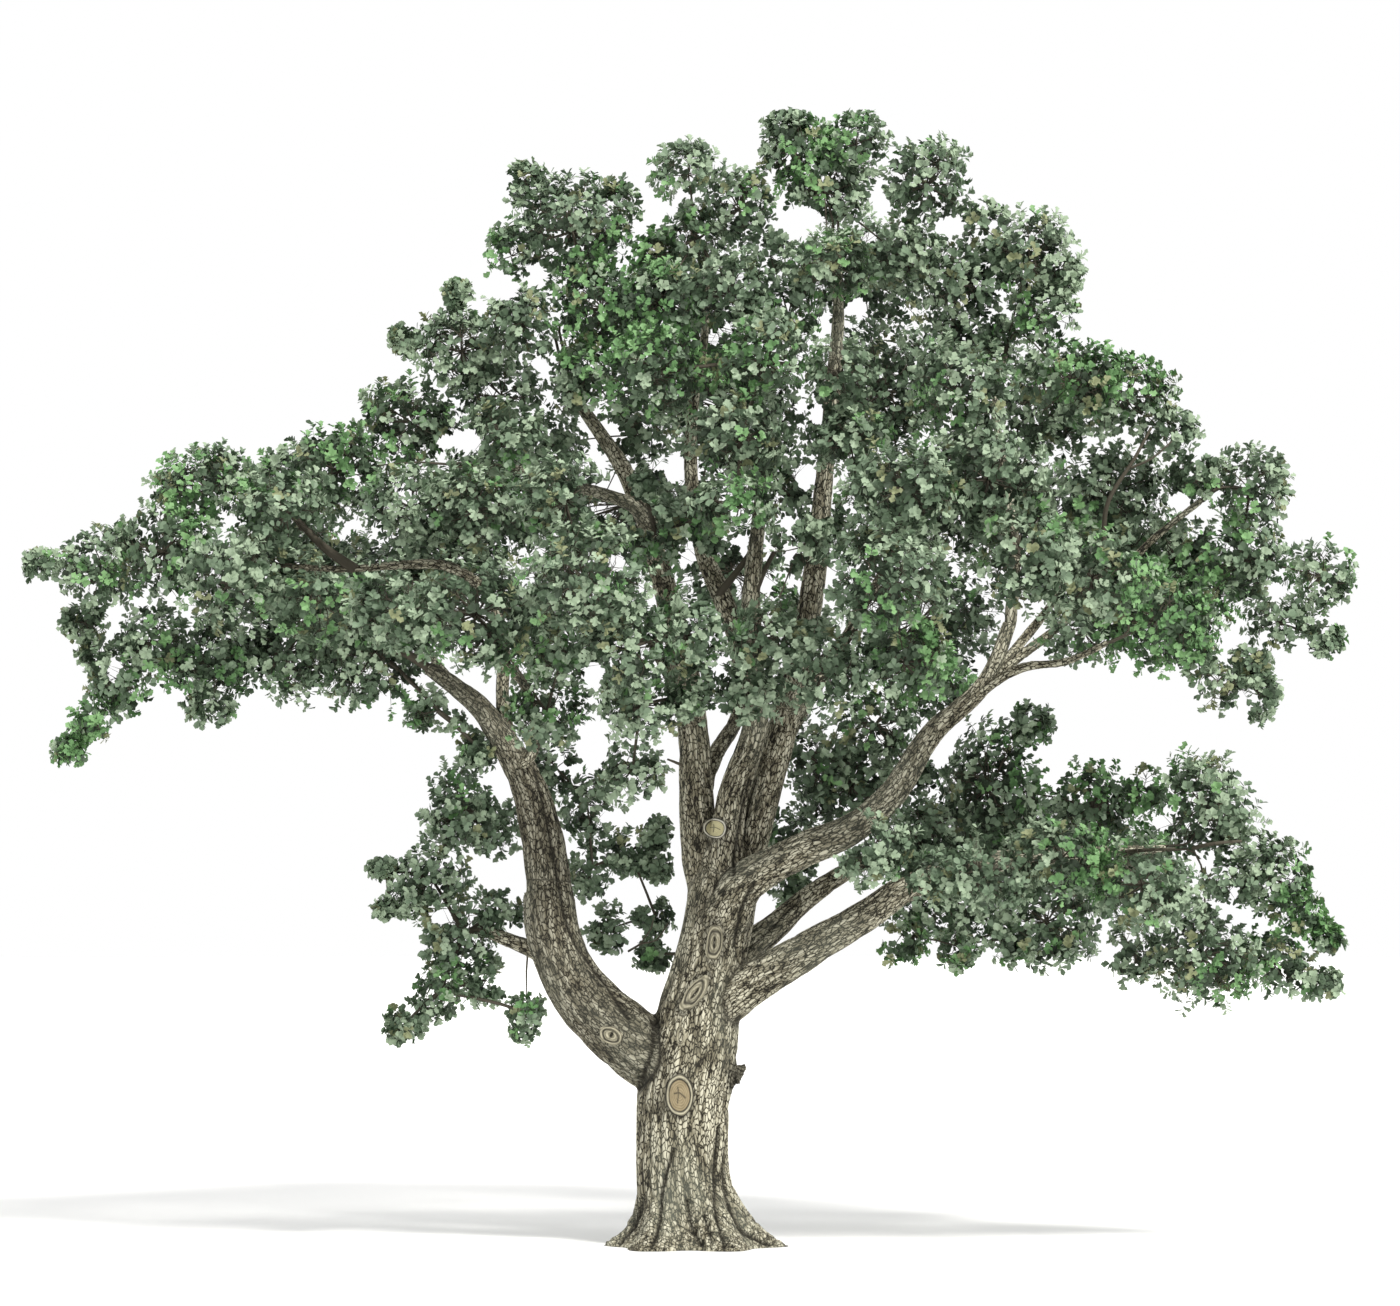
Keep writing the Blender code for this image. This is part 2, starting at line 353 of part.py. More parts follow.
def trunk_ring(z, axis, half_width):
    """One ring of the trunk; buttresses deepen towards the foot."""
    fade = max(0.0, 1.0 - z / BUTTRESS_HEIGHT) ** BUTTRESS_FADE
    ring = []
    for i in range(TRUNK_SIDES):
        angle = 2 * math.pi * i / TRUNK_SIDES
        ridge = (math.cos(ROOT_BUTTRESSES * angle + BUTTRESS_TURN)
                 + FLANK_SHARE * math.cos(FOOT_FLANKS * angle + FLANK_TURN))
        radius = half_width * (1 + BUTTRESS_DEPTH * fade * ridge)
        off_stub = math.hypot((z - STUB_HEIGHT) / STUB_RISE,
                              math.sin((angle - STUB_ANGLE) / 2) * STUB_NARROWNESS)
        radius += STUB_DEPTH * math.exp(-off_stub ** 2)
        ring.append(Vector((axis + radius * math.cos(angle), radius * math.sin(angle), z)))
    return ring


def trunk_mesh():
    """A loft through the trunk's unlike rings, with a flat foot and a flat top."""
    bm = bmesh.new()
    rings = [[bm.verts.new(p) for p in trunk_ring(*row)] for row in TRUNK_RINGS]
    for low, high in zip(rings, rings[1:]):
        for i in range(TRUNK_SIDES):
            j = (i + 1) % TRUNK_SIDES
            bm.faces.new((low[i], low[j], high[j], high[i]))
    bm.faces.new(list(reversed(rings[0])))
    bm.faces.new(rings[-1])
    return mesh_from(bm, "trunk", triangles=True)


def box_of(mesh):
    places = np.array([v.co for v in mesh.vertices])
    return places.min(0), places.max(0)


def boxes_meet(a, b):
    return bool((a[0] < b[1]).all() and (b[0] < a[1]).all())


def swollen_copy(mesh, cutters):
    """A cutter: the mesh, grown by the clearance."""
    copy = mesh.copy()
    for v, normal in zip(copy.vertices, [v.normal.copy() for v in mesh.vertices]):
        v.co += normal * CLEARANCE
    item = add_object("cut_" + mesh.name, copy, cutters)
    item.hide_render = True
    item.display_type = "WIRE"
    return item


def largest_body(mesh, name, merge_flat):
    """The outer skin of the mesh's largest body: loose scraps and sealed hollows are left out."""
    bm = bmesh.new()
    bm.from_mesh(mesh)
    bmesh.ops.remove_doubles(bm, verts=bm.verts, dist=WELD)
    bmesh.ops.dissolve_degenerate(bm, edges=bm.edges, dist=WELD)
    if merge_flat:
        bmesh.ops.dissolve_limit(bm, angle_limit=FLAT_ANGLE, verts=bm.verts, edges=bm.edges)
    bmesh.ops.triangulate(bm, faces=bm.faces)
    waiting, bodies = set(bm.faces), []
    while waiting:
        stack = [waiting.pop()]
        body = []
        while stack:
            face = stack.pop()
            body.append(face)
            for edge in face.edges:
                for other in edge.link_faces:
                    if other in waiting:
                        waiting.remove(other)
                        stack.append(other)
        bodies.append(body)
    bodies.sort(key=lambda faces: -abs(sum(signed_volume(f) for f in faces)))
    for body in bodies[1:]:
        bmesh.ops.delete(bm, geom=body, context="FACES")
    loose = [v for v in bm.verts if not v.link_faces]
    bmesh.ops.delete(bm, geom=loose, context="VERTS")
    closed = all(len(e.link_faces) == 2 for e in bm.edges)
    out = bpy.data.meshes.new(name)
    bm.to_mesh(out)
    bm.free()
    return out, closed


def signed_volume(face):
    a, b, c = (v.co for v in face.verts)
    return a.dot(b.cross(c)) / 6.0


def combined(mesh, others, operation, name, solver="EXACT"):
    """The mesh with every other mesh taken from it or joined to it, by one Boolean on a collection."""
    group = bpy.data.collections.new("boolean_" + name)
    bpy.context.scene.collection.children.link(group)
    for other in others:
        group.objects.link(other)
    base = bpy.data.objects.new(name, mesh)
    bpy.context.scene.collection.objects.link(base)
    modifier = base.modifiers.new("cut", "BOOLEAN")
    modifier.operation = operation
    modifier.operand_type = "COLLECTION"
    modifier.collection = group
    modifier.solver = solver
    drawn = base.evaluated_get(bpy.context.evaluated_depsgraph_get())
    out = bpy.data.meshes.new_from_object(drawn)
    bpy.data.objects.remove(base, do_unlink=True)
    bpy.data.collections.remove(group)
    solid, closed = largest_body(out, name, merge_flat=operation == "UNION")
    bpy.data.meshes.remove(out)
    return solid, closed


def build_limbs(parts, cutters, bark):
    """The trunk and every limb, each cut clear of what it springs from and of its neighbours."""
    blanks = {"trunk": trunk_mesh()}
    meshes = {"trunk": blanks["trunk"].copy()}
    for name, limb in LIMBS.items():
        blank = limb_mesh(name, limb)
        near = [m for m in blanks.values() if boxes_meet(box_of(m), box_of(blank))]
        tools = [swollen_copy(m, cutters) for m in near]
        blanks[name] = blank
        meshes[name], closed = combined(blank.copy(), tools, "DIFFERENCE", name)
        if not closed:
            raise RuntimeError(f"{name} is open")
    for name, mesh in meshes.items():
        mesh.name = name
        mesh.set_sharp_from_angle(angle=SHARP_ANGLE)
        add_object(name, mesh, parts, bark)
    return meshes


# ---------------------------------------------------------------- each mass's own space


def lobe_reach(half_width, half_height):
    """A lobe's half sizes along X, Y and Z."""
    return np.array((half_width, LOBE_DEPTH * (half_width + half_height) / 2, half_height))


NAMES = list(MASSES)
LOBE_ROWS = [(i, *lobe) for i, name in enumerate(NAMES) for lobe in MASSES[name].lobes]
OWNER = np.array([row[0] for row in LOBE_ROWS])
CENTRE = np.array([row[1:4] for row in LOBE_ROWS])
REACH = np.array([lobe_reach(*row[4:]) for row in LOBE_ROWS])


def own_space(mass, points, slack=0.0):
    """Which points lie within a mass's lobes, nearer to them than to any other mass's, and in no
    clear view."""
    points = np.atleast_2d(points)
    far = np.linalg.norm((points[:, None, :] - CENTRE) / REACH, axis=2)
    mine = far[:, OWNER == mass].min(1)
    others = far[:, OWNER != mass].min(1)
    inside = (mine < 1.0 + slack) & (mine + SPACE_GAP < others)
    scale = -VIEW_POINT.y / (points[:, 1] - VIEW_POINT.y)
    seen_x = VIEW_POINT.x + (points[:, 0] - VIEW_POINT.x) * scale
    seen_z = VIEW_POINT.z + (points[:, 2] - VIEW_POINT.z) * scale
    for x, z, half_width, half_height in CLEAR_VIEWS:
        inside &= np.hypot((seen_x - x) / half_width, (seen_z - z) / half_height) > 1.0
    return inside


RAY_STEPS = np.linspace(0.05, 1.0, 20)


def free_share(mass, centre, ray):
    """How much of the ray out of a lobe's centre stays in the mass's own space."""
    inside = own_space(mass, centre + RAY_STEPS[:, None] * ray)
    return 1.0 if inside.all() else RAY_STEPS[int(np.argmin(inside))] - RAY_STEPS[0]


# ---------------------------------------------------------------- foliage


def stem_slots(limb_meshes):
    """Where each mass's stem starts: just clear of its bough's tip, side by side where several share it."""
    slots = {}
    for bough in dict.fromkeys(mass.bough for mass in MASSES.values()):
        sharing = [name for name in NAMES if MASSES[name].bough == bough]
        if bough == "trunk":
            for name in sharing:
                hub = Vector(MASSES[name].lobes[0][:3])
                axis = Vector((TRUNK_AXIS_ABOVE, 0.0, hub.z))
                hit, normal, _, _ = bvh([limb_meshes["trunk"]]).ray_cast(hub, (axis - hub).normalized())
                slots[name] = (hit + normal * CLEARANCE, normal, STEM_RADIUS_ON_TRUNK)
            continue
        route = limb_route(LIMBS[bough])
        tip, forward = route[-1], (route[-1] - route[-2]).normalized()
        across = forward.orthogonal().normalized()
        upward = forward.cross(across)
        angles = {}
        for name in sharing:
            aim = Vector(MASSES[name].lobes[0][:3]) - tip
            angles[name] = math.atan2(aim.dot(upward), aim.dot(across))
        sharing.sort(key=angles.get)
        turn = 2 * math.pi / len(sharing)
        spin = math.atan2(sum(math.sin(angles[n] - i * turn) for i, n in enumerate(sharing)),
                          sum(math.cos(angles[n] - i * turn) for i, n in enumerate(sharing)))
        offset, share = LONE_SLOT if len(sharing) == 1 else SHARED_SLOT
        for i, name in enumerate(sharing):
            angle = spin + i * turn
            side = across * math.cos(angle) + upward * math.sin(angle)
            radius = LIMBS[bough].tip_radius
            slots[name] = (tip + forward * CLEARANCE + side * offset * radius, forward, share * radius)
    return slots


def cone_between(a, b, radius_a, radius_b, sides, name):
    """A straight tapering twig from a to b."""
    bm = bmesh.new()
    span = b - a
    turn = span.to_track_quat("Z", "Y").to_matrix().to_4x4()
    place = Matrix.Translation((a + b) / 2) @ turn
    bmesh.ops.create_cone(bm, cap_ends=True, segments=sides, radius1=radius_a, radius2=radius_b,
                          depth=span.length, matrix=place)
    return mesh_from(bm, name)


def frame_meshes(name, slot):
    """A mass's stem and the branches that lead from it to each lobe."""
    start, forward, radius = slot
    hubs = [Vector(lobe[:3]) for lobe in MASSES[name].lobes]
    hub = hubs[0]
    lead = min(STEM_LEAD, STEM_LEAD_SHARE * (hub - start).length)
    bend = start + forward * lead
    control = bend + forward * STEM_SWING * (hub - bend).length
    route = [start, bend]
    for t in STEM_STOPS:
        route.append(bend * (1 - t) ** 2 + control * 2 * t * (1 - t) + hub * t * t)
    radii = [radius * (1 - STEM_TAPER * i / (len(route) - 1)) for i in range(len(route))]
    pieces = [sweep(route, radii, 0, name + "_stem")]
    joined = [hub]
    for other in hubs[1:]:
        near = min(joined, key=lambda h: (h - other).length)
        thick, thin = (radius * share for share in BRANCH_RADII)
        pieces.append(cone_between(near, other, thick, thin, 3, name + "_branch"))
        joined.append(other)
    return pieces


def core_mesh(mass, centre, reach, shrink, name):
    """The lumpy heart of a dense lobe, kept within the mass's own space."""
    bm = bmesh.new()
    bmesh.ops.create_icosphere(bm, subdivisions=2 if reach[0] > CORE_FINE else 1, radius=1.0)
    for v in bm.verts:
        ray = np.array(v.co.normalized()) * reach
        lump = 1.0 + CORE_LUMP * noise.noise(Vector(centre) * LUMP_CHANGE + v.co * LUMP_FINENESS)
        share = min(CORE_SHARE * lump, CORE_MOST_SHARE * free_share(mass, centre, ray))
        v.co = Vector(centre + ray * max(CORE_LEAST_SHARE, share) * shrink)
    return mesh_from(bm, name)


def leaf_mesh(root, tip, flat, name):
    """A spray of leaves as one flat blade of eight faces, pointed at its root and at its tip."""
    span = tip - root
    length = span.length
    bm = bmesh.new()
    bmesh.ops.create_uvsphere(bm, u_segments=4, v_segments=2, radius=1.0)
    along = span.normalized()
    side = along.cross(flat).normalized()
    normal = side.cross(along)
    axes = Matrix((side * LEAF_SLENDER * length, normal * LEAF_THICK * length, span / 2)).transposed()
    place = Matrix.Translation(root + span * 0.5) @ axes.to_4x4()
    bmesh.ops.transform(bm, matrix=place, verts=bm.verts)
    return mesh_from(bm, name)


def meets(mesh, trees):
    probe = bvh([mesh], swell=CLOSE)
    return any(probe.overlap(tree) for tree in trees)


def spray_directions(count, axis, turn):
    """Directions spread evenly over a ball by the golden angle, the first one along the axis."""
    lift = axis.to_track_quat("Z", "Y")
    for i in range(count):
        height = 1.0 - 2 * i / count
        ring = math.sqrt(1.0 - height * height)
        angle = i * GOLDEN_ANGLE + turn
        yield lift @ Vector((math.cos(angle) * ring, math.sin(angle) * ring, height))


def grow_sprays(name, core_sizes, obstacles, count_scale):
    """Sprays for every lobe; one that would leave the mass's space or touch a neighbour is skipped."""
    mass = NAMES.index(name)
    rng = random.Random(SEED * 1000 + mass)
    sprays = []
    for number, (x, y, z, half_width, half_height) in enumerate(MASSES[name].lobes):
        centre = np.array((x, y, z))
        reach = lobe_reach(half_width, half_height)
        core = core_sizes.get(number, 0.0)
        root_share = SPRAY_ROOT * core if core else OPEN_SPRAY_ROOT
        count = round(LEAVES_PER_AREA * math.pi * half_width * half_height * count_scale)
        count = min(LEAF_MOST, max(LEAF_LEAST, count))
        outward = (Vector(centre) - CROWN_HEART).normalized()
        for i, out in enumerate(spray_directions(count, outward, rng.uniform(0, 2 * math.pi))):
            lean = Vector([rng.gauss(0, 1) for _ in range(3)])
            lean = (lean - out * lean.dot(out)).normalized()
            flat = out + SPRAY_TILT * Vector([rng.gauss(0, 1) for _ in range(3)])
            aim = np.array((out + lean * (LEAN if i else 0.0)).normalized()) * reach
            share = free_share(mass, centre, aim) * rng.uniform(*TIP_SHARE)
            if share < root_share + SHORTEST_SPRAY:
                continue
            spray = leaf_mesh(Vector(centre + np.array(out) * reach * root_share),
                              Vector(centre + aim * share), flat, name + "_spray")
            inside = own_space(mass, np.array([v.co for v in spray.vertices]), slack=EDGE_SLACK)
            if not inside.all() or meets(spray, obstacles):
                bpy.data.meshes.remove(spray)
                continue
            sprays.append(spray)
    return sprays


def grow_cores(name, obstacles):
    """The dense lobes' cores, each shrunk until it clears every limb and every other mass."""
    mass = NAMES.index(name)
    cores, sizes = [], {}
    for number, (x, y, z, half_width, half_height) in enumerate(MASSES[name].lobes):
        if (half_width + half_height) / 2 < CORE_LEAST:
            continue
        for shrink in CORE_SHRINKS:
            core = core_mesh(mass, np.array((x, y, z)), lobe_reach(half_width, half_height), shrink,
                             name + "_core")
            if not meets(core, obstacles):
                cores.append(core)
                sizes[number] = shrink
                break
            bpy.data.meshes.remove(core)
    return cores, sizes


def joined_mass(name, pieces):
    """One Boolean union on a collection joins the mass."""
    helpers = [bpy.data.objects.new(f"{name}_{i}", piece) for i, piece in enumerate(pieces[1:])]
    for solver in ("EXACT", "MANIFOLD"):
        solid, closed = combined(pieces[0], helpers, "UNION", name, solver)
        if closed:
            break
    for helper in helpers:
        bpy.data.objects.remove(helper, do_unlink=True)
    return solid, closed


def build_masses(parts, limb_meshes, foliage):
    """Every mass of foliage: first all the stems, then the cores, then the sprays that fill each space."""
    limb_tree = bvh(limb_meshes.values())
    slots = stem_slots(limb_meshes)
    frames = {name: frame_meshes(name, slots[name]) for name in NAMES}
    trees = {name: [bvh(frames[name])] for name in NAMES}

    def obstacles(name):
        return [limb_tree] + [tree for other in NAMES if other != name for tree in trees[other]]

    for name in NAMES:
        if any(trees[name][0].overlap(tree) for tree in obstacles(name)):
            raise RuntimeError(f"the stem of {name} is blocked")
    cores, sizes = {}, {}
    for name in NAMES:
        cores[name], sizes[name] = grow_cores(name, obstacles(name))
        if cores[name]:
            trees[name].append(bvh(cores[name]))
    for name in NAMES:
        for count_scale in SPRAY_COUNTS:
            sprays = grow_sprays(name, sizes[name], obstacles(name), count_scale)
            solid, closed = joined_mass(name, frames[name] + cores[name] + sprays)
            if closed:
                break
        trees[name] = [bvh([solid])]
        add_object(name, solid, parts, foliage)


def main():
    clear_scene()
    parts = new_collection("oak_tree")
    cutters = new_collection("cutters")
    bark = principled("bark", (0.27, 0.26, 0.19), 0.9)
    foliage = principled("foliage", (0.16, 0.23, 0.12), 0.7)
    limb_meshes = build_limbs(parts, cutters, bark)
    build_masses(parts, limb_meshes, foliage)


main()
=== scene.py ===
"""The looks of the old oak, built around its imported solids.

One mesh with the bark's relief stands for the trunk and the great limbs and another for the thinner boughs.
Each mass of foliage is grown again by the source's rule, from the same stems, branches and spaces, and carried
on to branchlets, twigs and leaves.  Metres, +Z up; the front looks towards -Y.
"""

import json
import math
import random
from collections import namedtuple

import bmesh
import bpy
import numpy as np
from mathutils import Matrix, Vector, noise
from mathutils.bvhtree import BVHTree

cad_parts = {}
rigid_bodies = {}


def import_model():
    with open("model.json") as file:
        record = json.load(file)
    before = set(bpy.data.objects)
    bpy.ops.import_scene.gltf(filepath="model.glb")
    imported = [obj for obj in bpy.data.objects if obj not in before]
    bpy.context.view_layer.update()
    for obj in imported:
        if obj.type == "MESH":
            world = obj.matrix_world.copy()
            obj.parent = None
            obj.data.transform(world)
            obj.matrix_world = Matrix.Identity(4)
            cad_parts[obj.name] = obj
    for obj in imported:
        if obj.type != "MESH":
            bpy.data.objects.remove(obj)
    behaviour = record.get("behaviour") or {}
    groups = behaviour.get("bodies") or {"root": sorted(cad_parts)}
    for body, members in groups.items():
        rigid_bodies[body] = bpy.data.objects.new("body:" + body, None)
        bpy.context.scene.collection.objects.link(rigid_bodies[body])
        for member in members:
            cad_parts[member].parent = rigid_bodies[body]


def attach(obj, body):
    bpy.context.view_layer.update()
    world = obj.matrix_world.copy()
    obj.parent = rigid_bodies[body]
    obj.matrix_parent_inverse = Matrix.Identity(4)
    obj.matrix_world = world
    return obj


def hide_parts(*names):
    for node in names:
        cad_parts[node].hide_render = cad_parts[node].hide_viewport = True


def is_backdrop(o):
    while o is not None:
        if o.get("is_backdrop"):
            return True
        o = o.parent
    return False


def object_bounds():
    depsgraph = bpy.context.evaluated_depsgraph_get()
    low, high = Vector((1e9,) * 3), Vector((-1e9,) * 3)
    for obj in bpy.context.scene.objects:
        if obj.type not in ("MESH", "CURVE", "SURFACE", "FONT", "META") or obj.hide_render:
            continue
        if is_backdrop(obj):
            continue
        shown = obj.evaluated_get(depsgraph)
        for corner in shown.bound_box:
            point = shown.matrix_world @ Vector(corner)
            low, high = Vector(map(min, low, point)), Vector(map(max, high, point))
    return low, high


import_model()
CAD_LOW, CAD_HIGH = (np.array(corner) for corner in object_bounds())

# ---- the tree's own sizes, as in the source

SEED = 1871
# Trunk: height, sideways place of its axis and half its width, from the foot to the fork.
TRUNK_RINGS = [
    (0, 0.1, 1.44), (0.2, 0.1, 1.2), (0.45, 0.07, 1.02), (0.8, 0, 0.88), (1.2, -0.08, 0.81),
    (1.9, -0.11, 0.79), (2.7, -0.08, 0.8), (3.4, 0.05, 0.79), (4.1, 0.18, 0.72), (4.8, 0.34, 0.65),
    (5.5, 0.5, 0.61), (6.2, 0.6, 0.59), (6.6, 0.62, 0.45),
]
ROOT_BUTTRESSES, BUTTRESS_TURN = 6, 0.4   # ridges that run down the flare into the roots
FOOT_FLANKS, FLANK_SHARE, FLANK_TURN = 3, 0.4, 1.1   # and broader flanks, shallower by that share
BUTTRESS_DEPTH = 0.13       # share of the foot's half width
BUTTRESS_HEIGHT = 1.5       # they fade out by here
BUTTRESS_FADE = 1.5         # power of that fading
STUB_HEIGHT, STUB_ANGLE = 2.95, 0.05   # rest of a lost branch, on the right side
STUB_DEPTH, STUB_RISE, STUB_NARROWNESS = 0.14, 0.35, 7.0

# Limbs: what they spring from, radius at the root and at the tip, and the few places they pass through.
Limb = namedtuple("Limb", "parent root_radius tip_radius route")
LIMBS = {
    "left_limb_low": Limb("trunk", 0.63, 0.44, [(-0.25, 0, 3.05), (-0.97, 0, 3.54), (-1.92, -0.05, 4.45),
        (-2.34, -0.05, 5.38), (-2.45, 0, 6.15)]),
    "left_limb_high": Limb("left_limb_low", 0.44, 0.12, [(-2.4, 0, 6), (-2.55, 0, 7.05), (-2.85, 0, 8.1),
        (-3.5, -0.1, 9.2), (-4.1, -0.2, 9.75), (-4.55, -0.3, 10.05)]),
    "left_bough_far": Limb("left_limb_high", 0.14, 0.06, [(-3, 0.1, 8.45), (-3.25, 0.2, 9.4),
        (-3.25, 0.4, 10.4), (-3.5, 0.5, 11.35), (-4.2, 0.2, 11.85), (-5, -0.3, 11.85), (-5.95, -0.7, 11.75),
        (-6.9, -0.6, 11.8)]),
    "left_bough_front": Limb("left_limb_high", 0.12, 0.07, [(-2.95, -0.05, 8.3), (-2.65, -0.7, 8.7),
        (-2.7, -1.7, 9.45), (-3.05, -2.5, 10)]),
    "left_bough_back": Limb("left_limb_high", 0.12, 0.07, [(-3.25, 0.1, 8.85), (-4.05, 1.5, 9.7),
        (-4.85, 2.9, 10.65)]),
    "low_left_branch": Limb("left_limb_low", 0.18, 0.1, [(-2.45, 0.05, 5.05), (-3, 0.2, 5.25),
        (-3.55, 0.5, 5.45)]),
    "stem_left": Limb("trunk", 0.35, 0.17, [(0.25, 0, 6.15), (0.15, 0.2, 7.75), (0.1, 0.3, 8.9),
        (-0.1, 0.6, 10.25), (-0.45, 0.9, 11.65), (-0.8, 1, 12.9)]),
    "stem_middle": Limb("trunk", 0.32, 0.11, [(0.6, -0.2, 6.15), (0.75, -0.25, 7.65), (1.05, -0.3, 8.8),
        (1.1, -0.5, 10.1), (1.1, -0.7, 11.3), (1.2, -0.9, 12.3), (1.25, -1.1, 12.9)]),
    "leader": Limb("trunk", 0.32, 0.08, [(0.95, 0.2, 6.15), (1.15, 0.25, 7.15), (1.6, 0.3, 8.8),
        (1.95, 0.35, 10.2), (2.2, 0.4, 11.55), (2.4, 0.3, 13.4), (2.55, 0.2, 14.95), (2.65, 0.1, 16.35),
        (2.6, 0, 17.65)]),
    "back_bough_left": Limb("stem_left", 0.16, 0.07, [(0.25, 0.25, 7.95), (0.5, 0.9, 8.6), (0.9, 2, 9.35),
        (1, 3.4, 10.55), (0.6, 4.8, 11.95), (0.25, 5.4, 12.8)]),
    "back_bough_right": Limb("leader", 0.16, 0.07, [(1.55, 0.4, 8.6), (2.1, 1.6, 9.5), (2.85, 3.2, 10.75),
        (3.6, 4.6, 12.1), (3.95, 5.2, 12.9)]),
    "front_bough_left": Limb("stem_left", 0.15, 0.08, [(0.05, 0.2, 9.15), (-0.2, -1, 9.65),
        (-0.6, -2.6, 10.3)]),
    "front_bough_right": Limb("leader", 0.15, 0.08, [(1.8, 0.2, 9.4), (2.15, -1.2, 9.9),
        (2.75, -2.8, 10.55)]),
    "crest_bough_left": Limb("stem_left", 0.18, 0.08, [(-0.8, 0.95, 12.75), (-1.05, 0.8, 13.45),
        (-1.35, 0.6, 13.95), (-1.7, 0.4, 14.45), (-2.1, 0.3, 15.05), (-2.25, 0.4, 15.7)]),
    "side_bough_left": Limb("stem_left", 0.14, 0.06, [(-0.65, 0.9, 12.6), (-1.05, 0.5, 13), (-1.95, 0, 13.25),
        (-2.9, -0.4, 13.5), (-4.15, -0.4, 13.6)]),
    "crest_bough_mid": Limb("stem_middle", 0.21, 0.06, [(1.05, -0.45, 9.9), (0.85, -0.3, 10.65),
        (0.55, -0.2, 11.4), (0.25, 0.1, 12.2), (0.05, 0.5, 13.55), (0.1, 0.4, 14.8), (0.3, 0.2, 16),
        (0.35, 0, 17)]),
    "right_bough_rise": Limb("trunk", 0.37, 0.12, [(0.6, -0.25, 5.7), (1, -0.5, 6.3), (1.95, -0.95, 6.85),
        (2.8, -1.1, 7.2), (3.55, -1, 7.85), (4.2, -0.9, 8.85), (5.15, -0.7, 9.75), (5.6, -0.6, 10.8)]),
    "right_crest_bough": Limb("right_bough_rise", 0.12, 0.06, [(5.6, -0.6, 10.7), (5.7, -0.5, 12.1),
        (5.55, -0.2, 13.5), (5.4, 0.1, 14.75), (5.6, 0.1, 15.6)]),
    "right_bough_far": Limb("right_bough_rise", 0.1, 0.06, [(5.3, -0.7, 9.85), (5.85, -0.4, 10.3),
        (6.4, -0.1, 10.7), (7.4, 0.2, 11.6), (8.25, 0.1, 12.4), (9, -0.3, 13)]),
    "right_bough_side": Limb("right_bough_rise", 0.1, 0.06, [(5.05, -0.75, 9.6), (5.75, -1.1, 10),
        (6.5, -1.5, 10.1), (7.2, -2, 10.4)]),
    "right_bough_back": Limb("right_bough_rise", 0.12, 0.07, [(4.8, -0.75, 9.4), (5.5, 0.6, 10.1),
        (6.4, 1.8, 11.15), (7, 2.2, 12)]),
    "right_bough_mid": Limb("trunk", 0.32, 0.1, [(0.6, 0.2, 4.5), (1, 0.4, 5.1), (1.55, 0.7, 5.55),
        (2.05, 1, 6), (2.8, 1.25, 6.5), (3.7, 1.3, 6.9)]),
    "right_bough_low": Limb("trunk", 0.4, 0.07, [(0.4, -0.1, 4.04), (1.05, -0.3, 4.51), (1.95, -0.6, 5.06),
        (3.1, -0.8, 5.74), (3.75, -0.9, 6.2), (4.7, -0.9, 6.55), (6.1, -0.8, 6.75), (7.65, -0.7, 6.85),
        (8.3, -0.6, 6.9)]),
}

